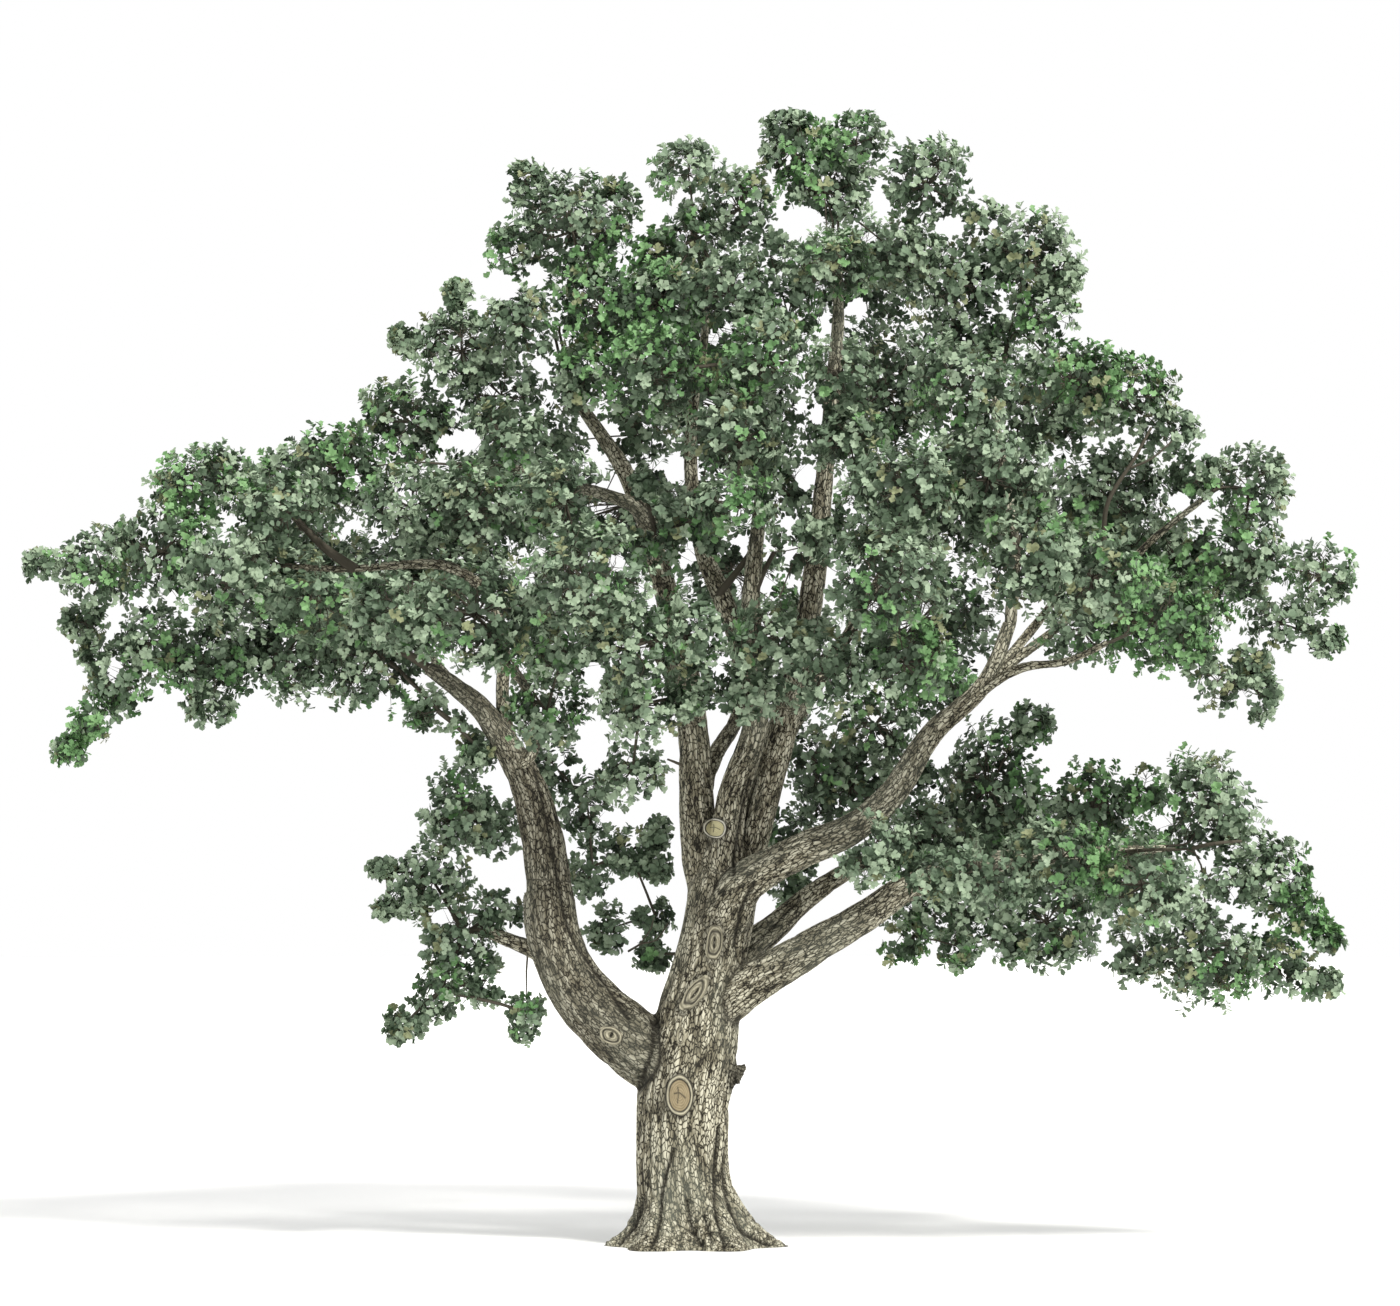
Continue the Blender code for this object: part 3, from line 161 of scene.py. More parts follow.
# Masses of foliage: the bough each one grows from, and its lobes: centre, half width and half height.
Mass = namedtuple("Mass", "bough lobes")
MASSES = {
    "left_tip": Mass("left_bough_far", [(-9.15, -0.4, 12.05, 1, 0.98), (-10.25, -0.2, 11.75, 0.82, 0.85),
        (-11.3, -0.2, 11.85, 0.4, 0.25), (-8.5, 0.3, 13.25, 1.05, 0.85), (-10.55, -0.1, 10.85, 0.4, 0.35),
        (-10.3, -0.1, 10.3, 0.38, 0.35)]),
    "left_under": Mass("left_bough_far", [(-8.3, 0.3, 10.2, 1.2, 0.9), (-9.4, 0, 10.55, 0.75, 0.7),
        (-9.9, 0, 9.75, 0.62, 0.62), (-10.35, 0, 9.1, 0.45, 0.45), (-10.75, 0, 8.6, 0.36, 0.3),
        (-8.35, 0.2, 9.45, 0.45, 0.45)]),
    "left_heart": Mass("left_bough_far", [(-7.75, -1.7, 11.4, 1, 1), (-6.95, -1.3, 12.65, 0.95, 0.9),
        (-6.25, -2, 11.1, 0.9, 0.85)]),
    "left_skirt": Mass("left_limb_high", [(-5.5, 0.3, 10.4, 1.15, 1.2), (-7.1, 0.6, 10.35, 1.05, 1.02),
        (-6.4, 1.5, 11.55, 1.05, 0.9), (-4.35, -0.3, 9.3, 0.6, 0.42), (-3.65, 0.1, 8.65, 0.35, 0.4)]),
    "left_shoulder": Mass("side_bough_left", [(-6.15, 0.3, 13.55, 1.05, 0.95), (-4.85, 0.3, 14.4, 1.1, 0.85),
        (-7.2, 1.5, 13.25, 1, 0.9)]),
    "left_mid": Mass("side_bough_left", [(-4.75, -1.5, 12.75, 0.95, 0.8), (-3.65, -1.9, 12.65, 1.05, 0.9),
        (-3.25, -1, 13.95, 0.85, 0.75)]),
    "left_peak": Mass("crest_bough_left", [(-2.9, -0.4, 16.05, 0.8, 0.75), (-4, 0.2, 15.65, 0.95, 0.8),
        (-5, 0.2, 15.85, 0.3, 0.25), (-4.05, 0.2, 16.65, 0.25, 0.25), (-3.3, 0.4, 14.9, 0.95, 0.7)]),
    "top_left": Mass("crest_bough_left", [(-1.5, -0.4, 16.35, 1, 0.9), (-2.05, 0.2, 17.8, 1.15, 1.15),
        (-3.12, 0.2, 17.35, 0.55, 0.5), (-2.85, 0.2, 18.6, 0.4, 0.4), (-1.25, 0.1, 18.2, 0.47, 0.5),
        (-1.75, -0.5, 15.15, 0.75, 0.65), (-0.95, 1.4, 14.3, 0.75, 0.7), (-2.4, 1.2, 14.1, 0.7, 0.6),
        (-1.5, 1.3, 13.2, 0.75, 0.6), (-2, -0.5, 14.75, 0.4, 0.35)]),
    "top_middle": Mass("crest_bough_mid", [(0.15, 0.3, 17.65, 0.85, 0.6), (0, 0, 18.78, 0.66, 0.6),
        (0.9, 0, 18.15, 0.75, 0.75), (-0.5, -1, 16.35, 0.9, 0.75), (0.75, -1, 16.5, 0.9, 0.75),
        (-0.55, 0.1, 17.3, 0.5, 0.45)]),
    "high_middle": Mass("stem_middle", [(0.9, -2.4, 13.8, 1, 0.9), (0.85, -3.2, 12.65, 0.85, 0.6),
        (1.3, -2.2, 15.2, 1, 0.85), (-0.6, -1.8, 15, 1.1, 0.9), (-0.35, -1.4, 12.3, 0.75, 0.7),
        (1.75, -1.2, 13, 0.6, 0.6), (2.6, -1.8, 15, 0.8, 0.65), (0.15, -1.5, 12.75, 0.5, 0.5),
        (-0.55, -0.9, 12.35, 0.45, 0.4), (0.3, -1.3, 12.2, 0.35, 0.33), (-0.75, -0.6, 13.1, 0.35, 0.35)]),
    "top": Mass("leader", [(2.4, 0, 18.45, 1, 0.65), (1.85, -0.1, 19.2, 0.6, 0.8),
        (2.95, 0.1, 19.3, 0.6, 0.7), (2.45, -0.9, 17.05, 1.05, 0.6), (1.75, -0.6, 16.2, 0.6, 0.65),
        (1.7, 0, 19.55, 0.4, 0.4), (1.45, -0.1, 17.3, 0.5, 0.45), (2.4, 0, 19.15, 0.42, 0.45)]),
    "top_right": Mass("leader", [(3.8, 0.3, 17.3, 0.9, 0.65), (4.22, 0.2, 18.6, 0.88, 0.92),
        (4.75, 0.2, 16.8, 0.9, 0.85), (4.6, 0.3, 15.9, 0.6, 0.5)]),
    "right_crest": Mass("right_crest_bough", [(6, 0.2, 17.25, 0.95, 0.97), (6.55, 0.2, 16.95, 0.42, 0.45),
        (6.25, 0, 16.2, 0.65, 0.65), (5.2, 0.2, 17.85, 0.55, 0.45), (5.2, 0.3, 15.85, 0.75, 0.5)]),
    "right_high": Mass("right_crest_bough", [(6.7, 0, 15.07, 1.1, 0.8), (7.7, 0.3, 14.88, 1.08, 0.75),
        (8.4, 0.2, 14.2, 0.6, 0.5)]),
    "right_tip": Mass("right_bough_far", [(9.85, -0.2, 13.17, 0.73, 0.9), (9.65, -0.2, 11.95, 0.95, 0.85),
        (11.08, -0.2, 11.65, 0.68, 0.68), (10.3, -0.2, 10.85, 0.65, 0.5), (11.1, -0.2, 10.55, 0.38, 0.28),
        (8.8, -0.1, 13.35, 0.55, 0.6)]),
    "right_mid": Mass("right_bough_back", [(7.55, 1.5, 13.15, 1.2, 1), (8.65, 1, 12.05, 0.9, 0.9),
        (7.65, 0.9, 11.8, 1, 0.9)]),
    "right_back": Mass("right_bough_back", [(7.9, 3.6, 12.2, 1.65, 1.3), (6.65, 4.4, 13, 1.5, 1.3),
        (9, 2.8, 11.45, 1.2, 0.95)]),
    "right_low": Mass("right_bough_side", [(8.1, -1.4, 10.85, 1.1, 1.02), (6.9, -0.8, 10.6, 0.85, 0.65),
        (8.7, -0.8, 10.3, 0.5, 0.4), (9.25, -0.4, 9.77, 0.57, 0.55), (9.98, -0.2, 9.57, 0.32, 0.5),
        (9.8, -0.2, 10.15, 0.36, 0.26)]),
    "right_front": Mass("right_bough_side", [(6.8, -3.2, 11.4, 1.2, 0.95), (5.65, -3.7, 11.7, 1.1, 0.9),
        (5.05, -3.4, 13.05, 1.2, 1), (4.6, -2.6, 14.6, 1.05, 1)]),
    "low_right_top": Mass("right_bough_mid", [(5.3, 0.9, 8, 1.1, 1.4), (7.15, 0.9, 7.65, 0.9, 0.85),
        (8, 0.8, 7.9, 0.5, 0.45), (6.05, 0.9, 9.1, 0.4, 0.4)]),
    "low_right_near": Mass("right_bough_mid", [(4.55, 0.6, 6.1, 1.15, 0.9), (3.75, 0.2, 5.4, 0.45, 0.55),
        (4.7, 0.2, 5.2, 0.4, 0.4), (6.3, 0.5, 5.62, 1.2, 0.88), (5.5, 0.3, 5.3, 0.5, 0.45)]),
    "low_right_back": Mass("right_bough_mid", [(5, 2.9, 7.1, 1.35, 1.1), (6.55, 3.1, 6.9, 1.35, 1.1),
        (8, 2.6, 6.45, 1.2, 1)]),
    "fork_right": Mass("right_bough_mid", [(4, 0.2, 7.1, 0.75, 0.75), (2.9, 1.9, 8.05, 1.05, 1.1),
        (3.15, -2, 6.85, 0.85, 0.7), (3.3, 0.9, 9.1, 0.9, 0.7), (2.28, 1.2, 8.45, 0.58, 0.85),
        (1.85, 2, 7, 0.6, 0.75), (4.35, 1.3, 9.75, 0.8, 0.65), (3.95, 0.9, 8.25, 0.5, 0.5),
        (1.9, 1.9, 6.1, 0.5, 0.4)]),
    "low_right_end": Mass("right_bough_low", [(9, -0.2, 7.62, 1.08, 1.03), (10.12, -0.2, 6.42, 0.78, 0.8),
        (11.1, -0.2, 5.35, 0.3, 0.25), (9.4, -0.6, 6.3, 0.55, 0.5), (10.7, -0.2, 5.75, 0.45, 0.42)]),
    "low_right_under": Mass("right_bough_low", [(8.95, -0.4, 5.05, 1.22, 1), (10.2, -0.2, 4.9, 0.66, 0.6),
        (10.95, -0.2, 4.55, 0.45, 0.24), (7.75, -1.9, 6.25, 1.05, 0.9), (7.75, -0.3, 5.1, 0.5, 0.6),
        (6.35, -2.1, 6.7, 0.95, 0.75), (5.1, -2.1, 6.45, 0.95, 0.75), (4.1, -2, 6.4, 0.6, 0.5)]),
    "back_left": Mass("back_bough_left", [(-1.2, 6, 13.45, 1.9, 1.6), (-2.4, 5, 11.2, 1.6, 1.25),
        (-3.45, 4.2, 13.35, 1.55, 1.35), (0.75, 2.9, 11.95, 1.1, 0.8), (1.7, 3, 11.3, 0.5, 0.45)]),
    "back_high": Mass("back_bough_left", [(0.75, 5.8, 15.2, 1.8, 1.6), (-0.05, 3.8, 16.8, 1.55, 1.3)]),
    "back_right": Mass("back_bough_right", [(5.2, 5.8, 13.7, 1.9, 1.6), (4.3, 5, 11.2, 1.75, 1.3),
        (6.65, 4, 15.2, 1.4, 1.15)]),
    "back_top": Mass("back_bough_right", [(3.55, 5, 15.5, 1.65, 1.5), (3.2, 3.2, 17.3, 1.4, 1.2)]),
    "left_back": Mass("left_bough_back", [(-5.85, 3.5, 11.5, 1.7, 1.3), (-7.35, 2.6, 12.05, 1.25, 1.05),
        (-4.35, 4, 12.25, 1.45, 1.2)]),
    "front_left": Mass("front_bough_left", [(-1, -3.6, 10.2, 1, 0.9), (-1.7, -4.4, 11.3, 1.25, 1.05),
        (-2.05, -3.4, 12.7, 0.95, 0.85), (-0.8, -2.4, 9.3, 0.95, 0.7), (-0.95, -1.4, 8.25, 0.7, 0.55),
        (0, -2.7, 10.5, 0.85, 0.8), (0.1, -2.2, 9.5, 0.6, 0.5)]),
    "front_face": Mass("front_bough_right", [(2.4, -3.4, 9.8, 0.9, 0.75), (1.3, -2.8, 10.4, 0.9, 0.7),
        (1, -2.2, 9.55, 0.85, 0.6), (1.9, -2.2, 12, 0.75, 0.55), (1.95, -1.7, 10.65, 0.6, 0.5)]),
    "front_right": Mass("front_bough_right", [(3.3, -4.6, 11.3, 1.25, 1.05), (3.6, -4.4, 12.8, 1.1, 0.95),
        (3.65, -3.4, 10, 0.95, 0.75), (2.8, -1.9, 13.8, 0.8, 0.75), (3, -1.5, 12.5, 0.7, 0.7),
        (2.25, -1.5, 12.35, 0.5, 0.45), (2.4, -1.4, 14.05, 0.5, 0.5)]),
    "left_front": Mass("left_bough_front", [(-3.55, -3.2, 10.8, 1.3, 1.1), (-4.85, -3.2, 10.9, 1, 0.9),
        (-2.4, -2, 9.2, 0.85, 0.7), (-2.1, -2.8, 10.15, 0.75, 0.7)]),
    "low_left": Mass("low_left_branch", [(-3.95, 0.6, 5.4, 0.76, 0.85), (-4.5, 0.6, 6.35, 0.8, 0.75),
        (-4, 0.6, 7.65, 0.74, 0.85), (-5.3, 0.6, 6.55, 0.32, 0.15), (-3.4, 0.8, 7.3, 0.5, 0.65),
        (-4.35, 0.6, 4.4, 0.6, 0.55), (-4.95, 0.6, 3.85, 0.4, 0.35), (-2.85, 0.3, 4.05, 0.3, 0.55),
        (-3.3, 0.7, 5.8, 0.5, 0.45), (-3.55, 0.6, 4.6, 0.35, 0.45), (-5.25, 0.6, 5.85, 0.3, 0.15)]),
    "inner_gap": Mass("trunk", [(-0.6, 1.2, 5.05, 0.4, 0.33), (-0.58, 1.2, 5.72, 0.38, 0.28),
        (-1.35, 1.2, 5.5, 0.45, 0.42), (-1.05, 1.5, 6.85, 0.4, 0.42), (-0.6, 1.5, 7.2, 0.36, 0.32),
        (-0.55, 1.5, 6.62, 0.36, 0.25), (-1.7, 1.4, 6.6, 0.5, 0.62), (-1.8, 1.7, 7.7, 0.6, 0.75),
        (-2.35, 1.4, 8.35, 0.5, 0.6)]),
}

# Open lines of sight through the crown, all towards one point well in front of the tree:
# sideways place, height, half width and half height, measured at the trunk's depth.
VIEW_POINT = Vector((0.2, -80.0, 6.0))
CLEAR_VIEWS = [
    (-3.3, 16.75, 0.35, 0.2), (-1.55, 14.2, 0.25, 0.22), (-1.35, 13.2, 0.38, 0.16), (-0.25, 13.5, 0.18, 0.2),
    (2.05, 13.42, 0.18, 0.24), (2.28, 14.52, 0.14, 0.2), (2, 18, 0.38, 0.22), (3.42, 18.22, 0.16, 0.2),
    (4.64, 17.86, 0.26, 0.16), (2.98, 16.42, 0.2, 0.17), (-3.32, 6.42, 0.36, 0.26), (-0.76, 4.42, 0.5, 0.36),
    (-1.68, 8.66, 0.28, 0.36), (2.4, 5.72, 0.55, 0.3), (4.45, 8.7, 0.24, 0.25), (0.65, 8.3, 0.16, 0.32),
    (8.68, 13, 0.14, 0.14), (10.32, 11.42, 0.18, 0.17), (-4.15, 14.05, 0.28, 0.14), (6, 10.3, 0.26, 0.14),
    (0.98, 12.16, 0.1, 0.2),
]

# Small gaps in the foliage, in the same terms: only leaves and fine twigs keep out of them.
SMALL_GAPS = [
    (-3.65, 16.4, 0.1, 0.12), (-2.7, 17.05, 0.14, 0.11), (-3.4, 14.9, 0.11, 0.1), (-3.9, 14.05, 0.3, 0.2),
    (-1.35, 14.2, 0.16, 0.2), (-1.5, 12.85, 0.22, 0.13), (0.1, 13.6, 0.08, 0.1), (0.45, 15.85, 0.13, 0.12),
    (0.7, 16.05, 0.11, 0.12), (1.4, 12.1, 0.06, 0.2), (0.9, 11.5, 0.08, 0.25), (1.4, 11.5, 0.11, 0.18),
    (0.05, 12.05, 0.16, 0.2), (2.45, 11.75, 0.16, 0.12), (-1.25, 11.9, 0.16, 0.18), (-1.65, 9.95, 0.18, 0.25),
    (3.2, 17.65, 0.14, 0.11), (3.25, 11.15, 0.13, 0.11), (4.15, 11.1, 0.1, 0.13), (3.8, 10.8, 0.11, 0.1),
    (9.7, 9.5, 0.1, 0.22), (5.8, 10.45, 0.17, 0.18), (8, 8.15, 0.11, 0.13), (8.3, 7.35, 0.17, 0.14),
    (9.55, 6.1, 0.1, 0.12), (0.65, 9.05, 0.18, 0.18), (-0.15, 6.9, 0.14, 0.7), (-0.3, 8.6, 0.16, 0.17),
    (-1.4, 7.45, 0.2, 0.12), (-4.3, 5.7, 0.2, 0.15), (-3.05, 4.65, 0.2, 0.35), (-10.05, 10.05, 0.13, 0.18),
    (9.15, 6.75, 0.1, 0.1),
]

# Stretches of limb that show from the front: no leaf hangs before them. Limb and its lowest and highest height.
BARE_STRETCHES = [
    ("left_limb_low", 3, 6.2), ("left_limb_high", 6, 8.5), ("left_limb_high", 9.05, 10.1),
    ("left_bough_far", 11.6, 12.1), ("stem_left", 6, 8.9), ("stem_left", 12.7, 12.95),
    ("side_bough_left", 12.7, 13.25), ("crest_bough_left", 13.65, 14.35), ("back_bough_left", 7.8, 9),
    ("stem_middle", 6, 8.9), ("stem_middle", 11.35, 12.4), ("crest_bough_mid", 11.2, 11.85),
    ("crest_bough_mid", 13.35, 13.7), ("leader", 6, 8.9), ("leader", 11.15, 11.8), ("leader", 12.85, 13.45),
    ("leader", 15.4, 16.6), ("right_bough_rise", 5.6, 7.25), ("right_bough_rise", 7.95, 10.6),
    ("right_bough_mid", 4.4, 6.35), ("right_bough_low", 3.9, 6.1), ("right_bough_far", 12.2, 12.9),
]
# Thinner bare branches: radius at the root and the tip, share of the length hidden by leaves, and places.
BARE_BRANCHES = [
    (0.075, 0.05, 0.1, [(0.55, -0.35, 11.35), (0.8, -0.5, 11.65), (1.1, -0.7, 12.05)]),
    (0.055, 0.04, 0.1, [(1.2, -0.8, 11.4), (1.32, -0.7, 11.7), (1.5, -0.6, 12.05)]),
    (0.1, 0.055, 0.2, [(-5.8, -0.75, 11.75), (-6.3, -0.75, 12.1), (-6.8, -0.7, 12.6)]),
    (0.055, 0.025, 0.45, [(7.4, 0.2, 11.6), (7.3, 0, 12.4), (7.37, -0.25, 13), (7.8, -0.4, 13.7),
    (8.1, -0.4, 14.25)]), (0.025, 0.015, 0.2, [(7.75, -0.4, 13.55), (8.1, -0.5, 13.7), (8.45, -0.5, 14)]),
    (0.04, 0.025, 0.1, [(7.5, -1.2, 6.83), (7.9, -1.6, 6.86), (8.35, -1.7, 6.88)]),
    (0.04, 0.025, 0.1, [(8.75, -0.8, 6.9), (9.1, -1.1, 6.98), (9.55, -1.1, 7.02)]),
    (0.03, 0.018, 0, [(-0.08, 0.1, 8.35), (-0.25, 0, 8.42), (-0.36, -0.05, 8.46)]),
    (0.02, 0.01, 0, [(-2.8, 0.15, 5.1), (-2.83, 0.25, 4.75), (-2.83, 0.3, 4.35)]),
    (0.022, 0.012, 0, [(-1.05, 1, 5.1), (-0.8, 0.7, 5.24), (-0.55, 0.6, 5.3), (-0.35, 0.6, 5.6)]),
    (0.018, 0.01, 0, [(-0.85, 0.75, 5.22), (-0.65, 0.65, 5.5), (-0.6, 0.6, 5.7)]),
    (0.03, 0.02, 0.3, [(5.74, -0.3, 11.5), (5.74, -0.6, 12), (5.78, -0.7, 12.35)]),
]

# ---- rules of growth, as in the source

THICK_LIMB = 0.3
BOUGH_STEP, THIN_STEP = 1.1, 1.54   # the source's steps along a limb, which settle the direction of its tip
LOBE_DEPTH = 1.2            # a lobe's size front to back, against its width and height
CROWN_HEART = Vector((0.3, 0.0, 10.5))
SPACE_GAP = 0.05
LEAF_LEAST, LEAF_MOST = 1, 3
LEAVES_PER_AREA = 0.86
LEAN = 0.85
TIP_SHARE = (0.98, 1.08)
GOLDEN_ANGLE = math.pi * (3.0 - math.sqrt(5.0))

# ---- and carried on to finer wood and leaves

BRANCHLETS_PER_AREA = 6.4   # for each square metre of a lobe's outline
LEAST_BRANCHLETS = 5
BRANCHLET_LEAN = 0.40
BRANCHLET_REACH = (0.84, 1.0)
BRANCHLET_RADIUS, TWIG_RADIUS = 0.016, 0.007
TWIGS_ON_BRANCHLET = 9
TWIG_LENGTH = 0.40          # on a lobe with half sizes over FULL_LOBE; smaller lobes have shorter twigs
FULL_LOBE = 0.8
LEAVES_ON_TWIG = 8
LEAF_LENGTH = 0.138
LEAF_SLACK = 0.07           # share of a lobe's reach by which twigs may pass its edge

# ---- camera, light and floor

EYE = Vector((0.21, -80.0, 6.0))
AIM = Vector((0.21, 0.0, 10.325))
FRAME_WIDTH = 24.5          # metres across the picture at the trunk's depth
SENSOR = 36.0
FLOOR_RADIUS, FLOOR_SIDES, FLOOR_DROP = 400.0, 96, 0.002


def placed(name, data, place=(0, 0, 0), aim=None):
    """An object in the scene, its -Z turned along the aim."""
    item = bpy.data.objects.new(name, data)
    item.location = place
    if aim:
        item.rotation_euler = aim.to_track_quat("-Z", "Y").to_euler()
    bpy.context.scene.collection.objects.link(item)
    return item


def make_stage():
    """A long lens at the height of the trunk's fork, a pale floor, white surroundings and a soft key light."""
    scene = bpy.context.scene
    scene.view_settings.view_transform = "Standard"
    camera = bpy.data.cameras.new("camera")
    camera.sensor_width = SENSOR
    camera.lens = SENSOR * -EYE.y / FRAME_WIDTH
    camera.clip_end = 1000.0
    scene.camera = placed("camera", camera, EYE, AIM - EYE)

    scene.world = bpy.data.worlds.new("studio")
    scene.world.use_nodes = True
    surroundings = scene.world.node_tree.nodes["Background"].inputs
    surroundings["Color"].default_value = (1.0, 1.0, 1.0, 1.0)
    surroundings["Strength"].default_value = 1.0
    key = bpy.data.lights.new("key", "SUN")
    key.energy, key.angle, key.color = 3.2, math.radians(12), (1.0, 0.98, 0.94)
    placed("key", key, aim=Vector((-0.55, 0.75, -0.95)))

    mesh = bpy.data.meshes.new("floor")
    turns = [2 * math.pi * i / FLOOR_SIDES for i in range(FLOOR_SIDES)]
    rim = [(FLOOR_RADIUS * math.cos(turn), FLOOR_RADIUS * math.sin(turn), 0.0) for turn in turns]
    mesh.from_pydata(rim, [], [range(FLOOR_SIDES)])
    mesh.materials.append(plain_material("pale_floor", (0.93, 0.93, 0.92), 0.95, 0.5))
    placed("floor", mesh, (0.0, 0.0, -FLOOR_DROP))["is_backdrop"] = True


# ---- arrays and meshes


def unit(v):
    return v / np.maximum(np.linalg.norm(v, axis=-1, keepdims=True), 1e-9)


def hill(x, power=2):
    """1 at 0, falling off past 1, the more steeply the higher the power."""
    return np.exp(-np.abs(x) ** power)


def read(rows, key, width=3, kind=np.float32):
    values = np.zeros(len(rows) * width, kind)
    rows.foreach_get(key, values)
    return values.reshape(-1, width)


def write(rows, key, values, kind=np.float32):
    rows.foreach_set(key, np.asarray(values, kind).ravel())


def give(mesh, **attributes):
    """Numbers or vectors on the mesh's points, for its material."""
    for name, values in attributes.items():
        kind, key = ("FLOAT", "value") if np.ndim(values) == 1 else ("FLOAT_VECTOR", "vector")
        write(mesh.attributes.new(name, kind, "POINT").data, key, values)


def array_mesh(name, points, faces):
    """A mesh whose faces all have the same number of corners."""
    mesh = bpy.data.meshes.new(name)
    mesh.vertices.add(len(points))
    mesh.loops.add(faces.size)
    mesh.polygons.add(len(faces))
    write(mesh.vertices, "co", points)
    write(mesh.loops, "vertex_index", faces, np.int32)
    write(mesh.polygons, "loop_start", np.arange(0, faces.size, faces.shape[1]), np.int32)
    mesh.update(calc_edges=True)
    return mesh


def ring_faces(rings, sides):
    """Quads between rings of points that follow one another."""
    low = np.arange((rings - 1) * sides).reshape(-1, sides)
    following = np.roll(low, -1, 1)
    return np.stack([low, following, following + sides, low + sides], -1).reshape(-1, 4)


def repeated(points, faces):
    """The same faces on every row of points."""
    first = np.arange(len(points))[:, None, None] * points.shape[1]
    return points.reshape(-1, 3), (faces[None] + first).reshape(-1, faces.shape[1])


def show(name, mesh, material, nodes, smooth=True):
    """A visible piece, which rides on the root and stands for these nodes."""
    if smooth:
        mesh.shade_smooth()
    mesh.materials.append(material)
    piece = placed(name, mesh)
    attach(piece, "root")
    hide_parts(*nodes)


# ---- limbs


def smooth_route(points, step):
    """A Catmull-Rom curve through the points, read about every step."""
    p = [Vector(q) for q in points]
    p = [p[0] * 2 - p[1]] + p + [p[-1] * 2 - p[-2]]
    route = []
    for a, b, c, d in zip(p, p[1:], p[2:], p[3:]):
        parts = max(1, round((c - b).length / step))
        for i in range(parts):
            t = i / parts
            route.append(0.5 * (2 * b + (c - a) * t + (2 * a - 5 * b + 4 * c - d) * t * t
                                + (3 * b - a - 3 * c + d) * t ** 3))
    return route + [p[-2]]


class Centreline:
    """A limb's fine centreline, with a frame carried along without twist."""

    def __init__(self, places, upright=False):
        self.places, self.upright = np.array(places, float), upright
        steps = np.linalg.norm(np.diff(self.places, axis=0), axis=1)
        self.run = np.concatenate([[0.0], np.cumsum(steps)])
        self.forward = unit(np.gradient(self.places, axis=0))
        side, across = np.cross(self.forward[0], (0.0, 1.0, 0.1)), []
        for ahead in self.forward:
            side = unit(side - ahead * side.dot(ahead))
            across.append(side)
        self.across = np.array(across)
        self.upward = np.cross(self.forward, self.across)


FINE_STEP, TRUNK_STEP = 0.09, 0.06
# How much wider a limb is at its root than further on: a collar where it springs from the side of its
# parent, a narrowing where it carries on from inside it.
COLLAR = 0.25
ROOT_CHANGES = {"left_limb_low": 0.0, "left_limb_high": -0.08, "stem_left": -0.28, "stem_middle": -0.2,
                "leader": -0.2, "crest_bough_left": -0.12, "right_crest_bough": -0.12,
                "right_bough_low": 0.10, "right_bough_mid": 0.10}
# A stem's skin leans sideways against its neighbour: by how much, about which height and over what reach.
LEANS = {"stem_middle": (0.11, 9.25, 0.75)}


def limb_line(name):
    limb = LIMBS[name]
    lean, height, reach = LEANS.get(name, (0.0, 0.0, 1.0))
    line = Centreline([p + Vector((lean * hill((p.z - height) / reach), 0.0, 0.0))
                       for p in smooth_route(limb.route, FINE_STEP)])
    radii = limb.root_radius + (limb.tip_radius - limb.root_radius) * line.run / line.run[-1]
    line.radii = radii * (1 + ROOT_CHANGES.get(name, COLLAR) * hill(line.run / (1.3 * limb.root_radius)))
    return line


def trunk_line():
    z = np.arange(TRUNK_RINGS[0][0], TRUNK_RINGS[-1][0] + 0.01, TRUNK_STEP)
    curve = np.array(smooth_route([(axis, half, height) for height, axis, half in TRUNK_RINGS], 0.04))
    axis, half = (np.interp(z, curve[:, 2], curve[:, i]) for i in (0, 1))
    line = Centreline(np.stack([axis, 0 * z, z], 1), upright=True)
    line.radii = half
    return line


def tube_points(line, sides):
    """Rings of points round a centreline; the trunk's foot has root buttresses."""
    angle = 2 * math.pi * np.arange(sides) / sides
    radius = np.repeat(line.radii[:, None], sides, 1)
    across, upward = line.across, line.upward
    if line.upright:
        height = line.places[:, 2:3]
        fade = np.clip(1 - height / BUTTRESS_HEIGHT, 0, 1) ** BUTTRESS_FADE
        ridge = (np.cos(ROOT_BUTTRESSES * angle + BUTTRESS_TURN)
                 + FLANK_SHARE * np.cos(FOOT_FLANKS * angle + FLANK_TURN))
        off_stub = np.hypot((height - STUB_HEIGHT) / STUB_RISE,
                            np.sin((angle - STUB_ANGLE) / 2) * STUB_NARROWNESS)
        radius = radius * (1 + BUTTRESS_DEPTH * fade * ridge) + 0.5 * STUB_DEPTH * hill(off_stub)
        across, upward = (np.tile(way, (len(radius), 1)) for way in ((1, 0, 0), (0, 1, 0)))
    ring = across[:, None] * np.cos(angle)[:, None] + upward[:, None] * np.sin(angle)[:, None]
    return line.places[:, None] + radius[:, :, None] * ring


TRUNK_SIDES, LIMB_SIDES = 72, 28


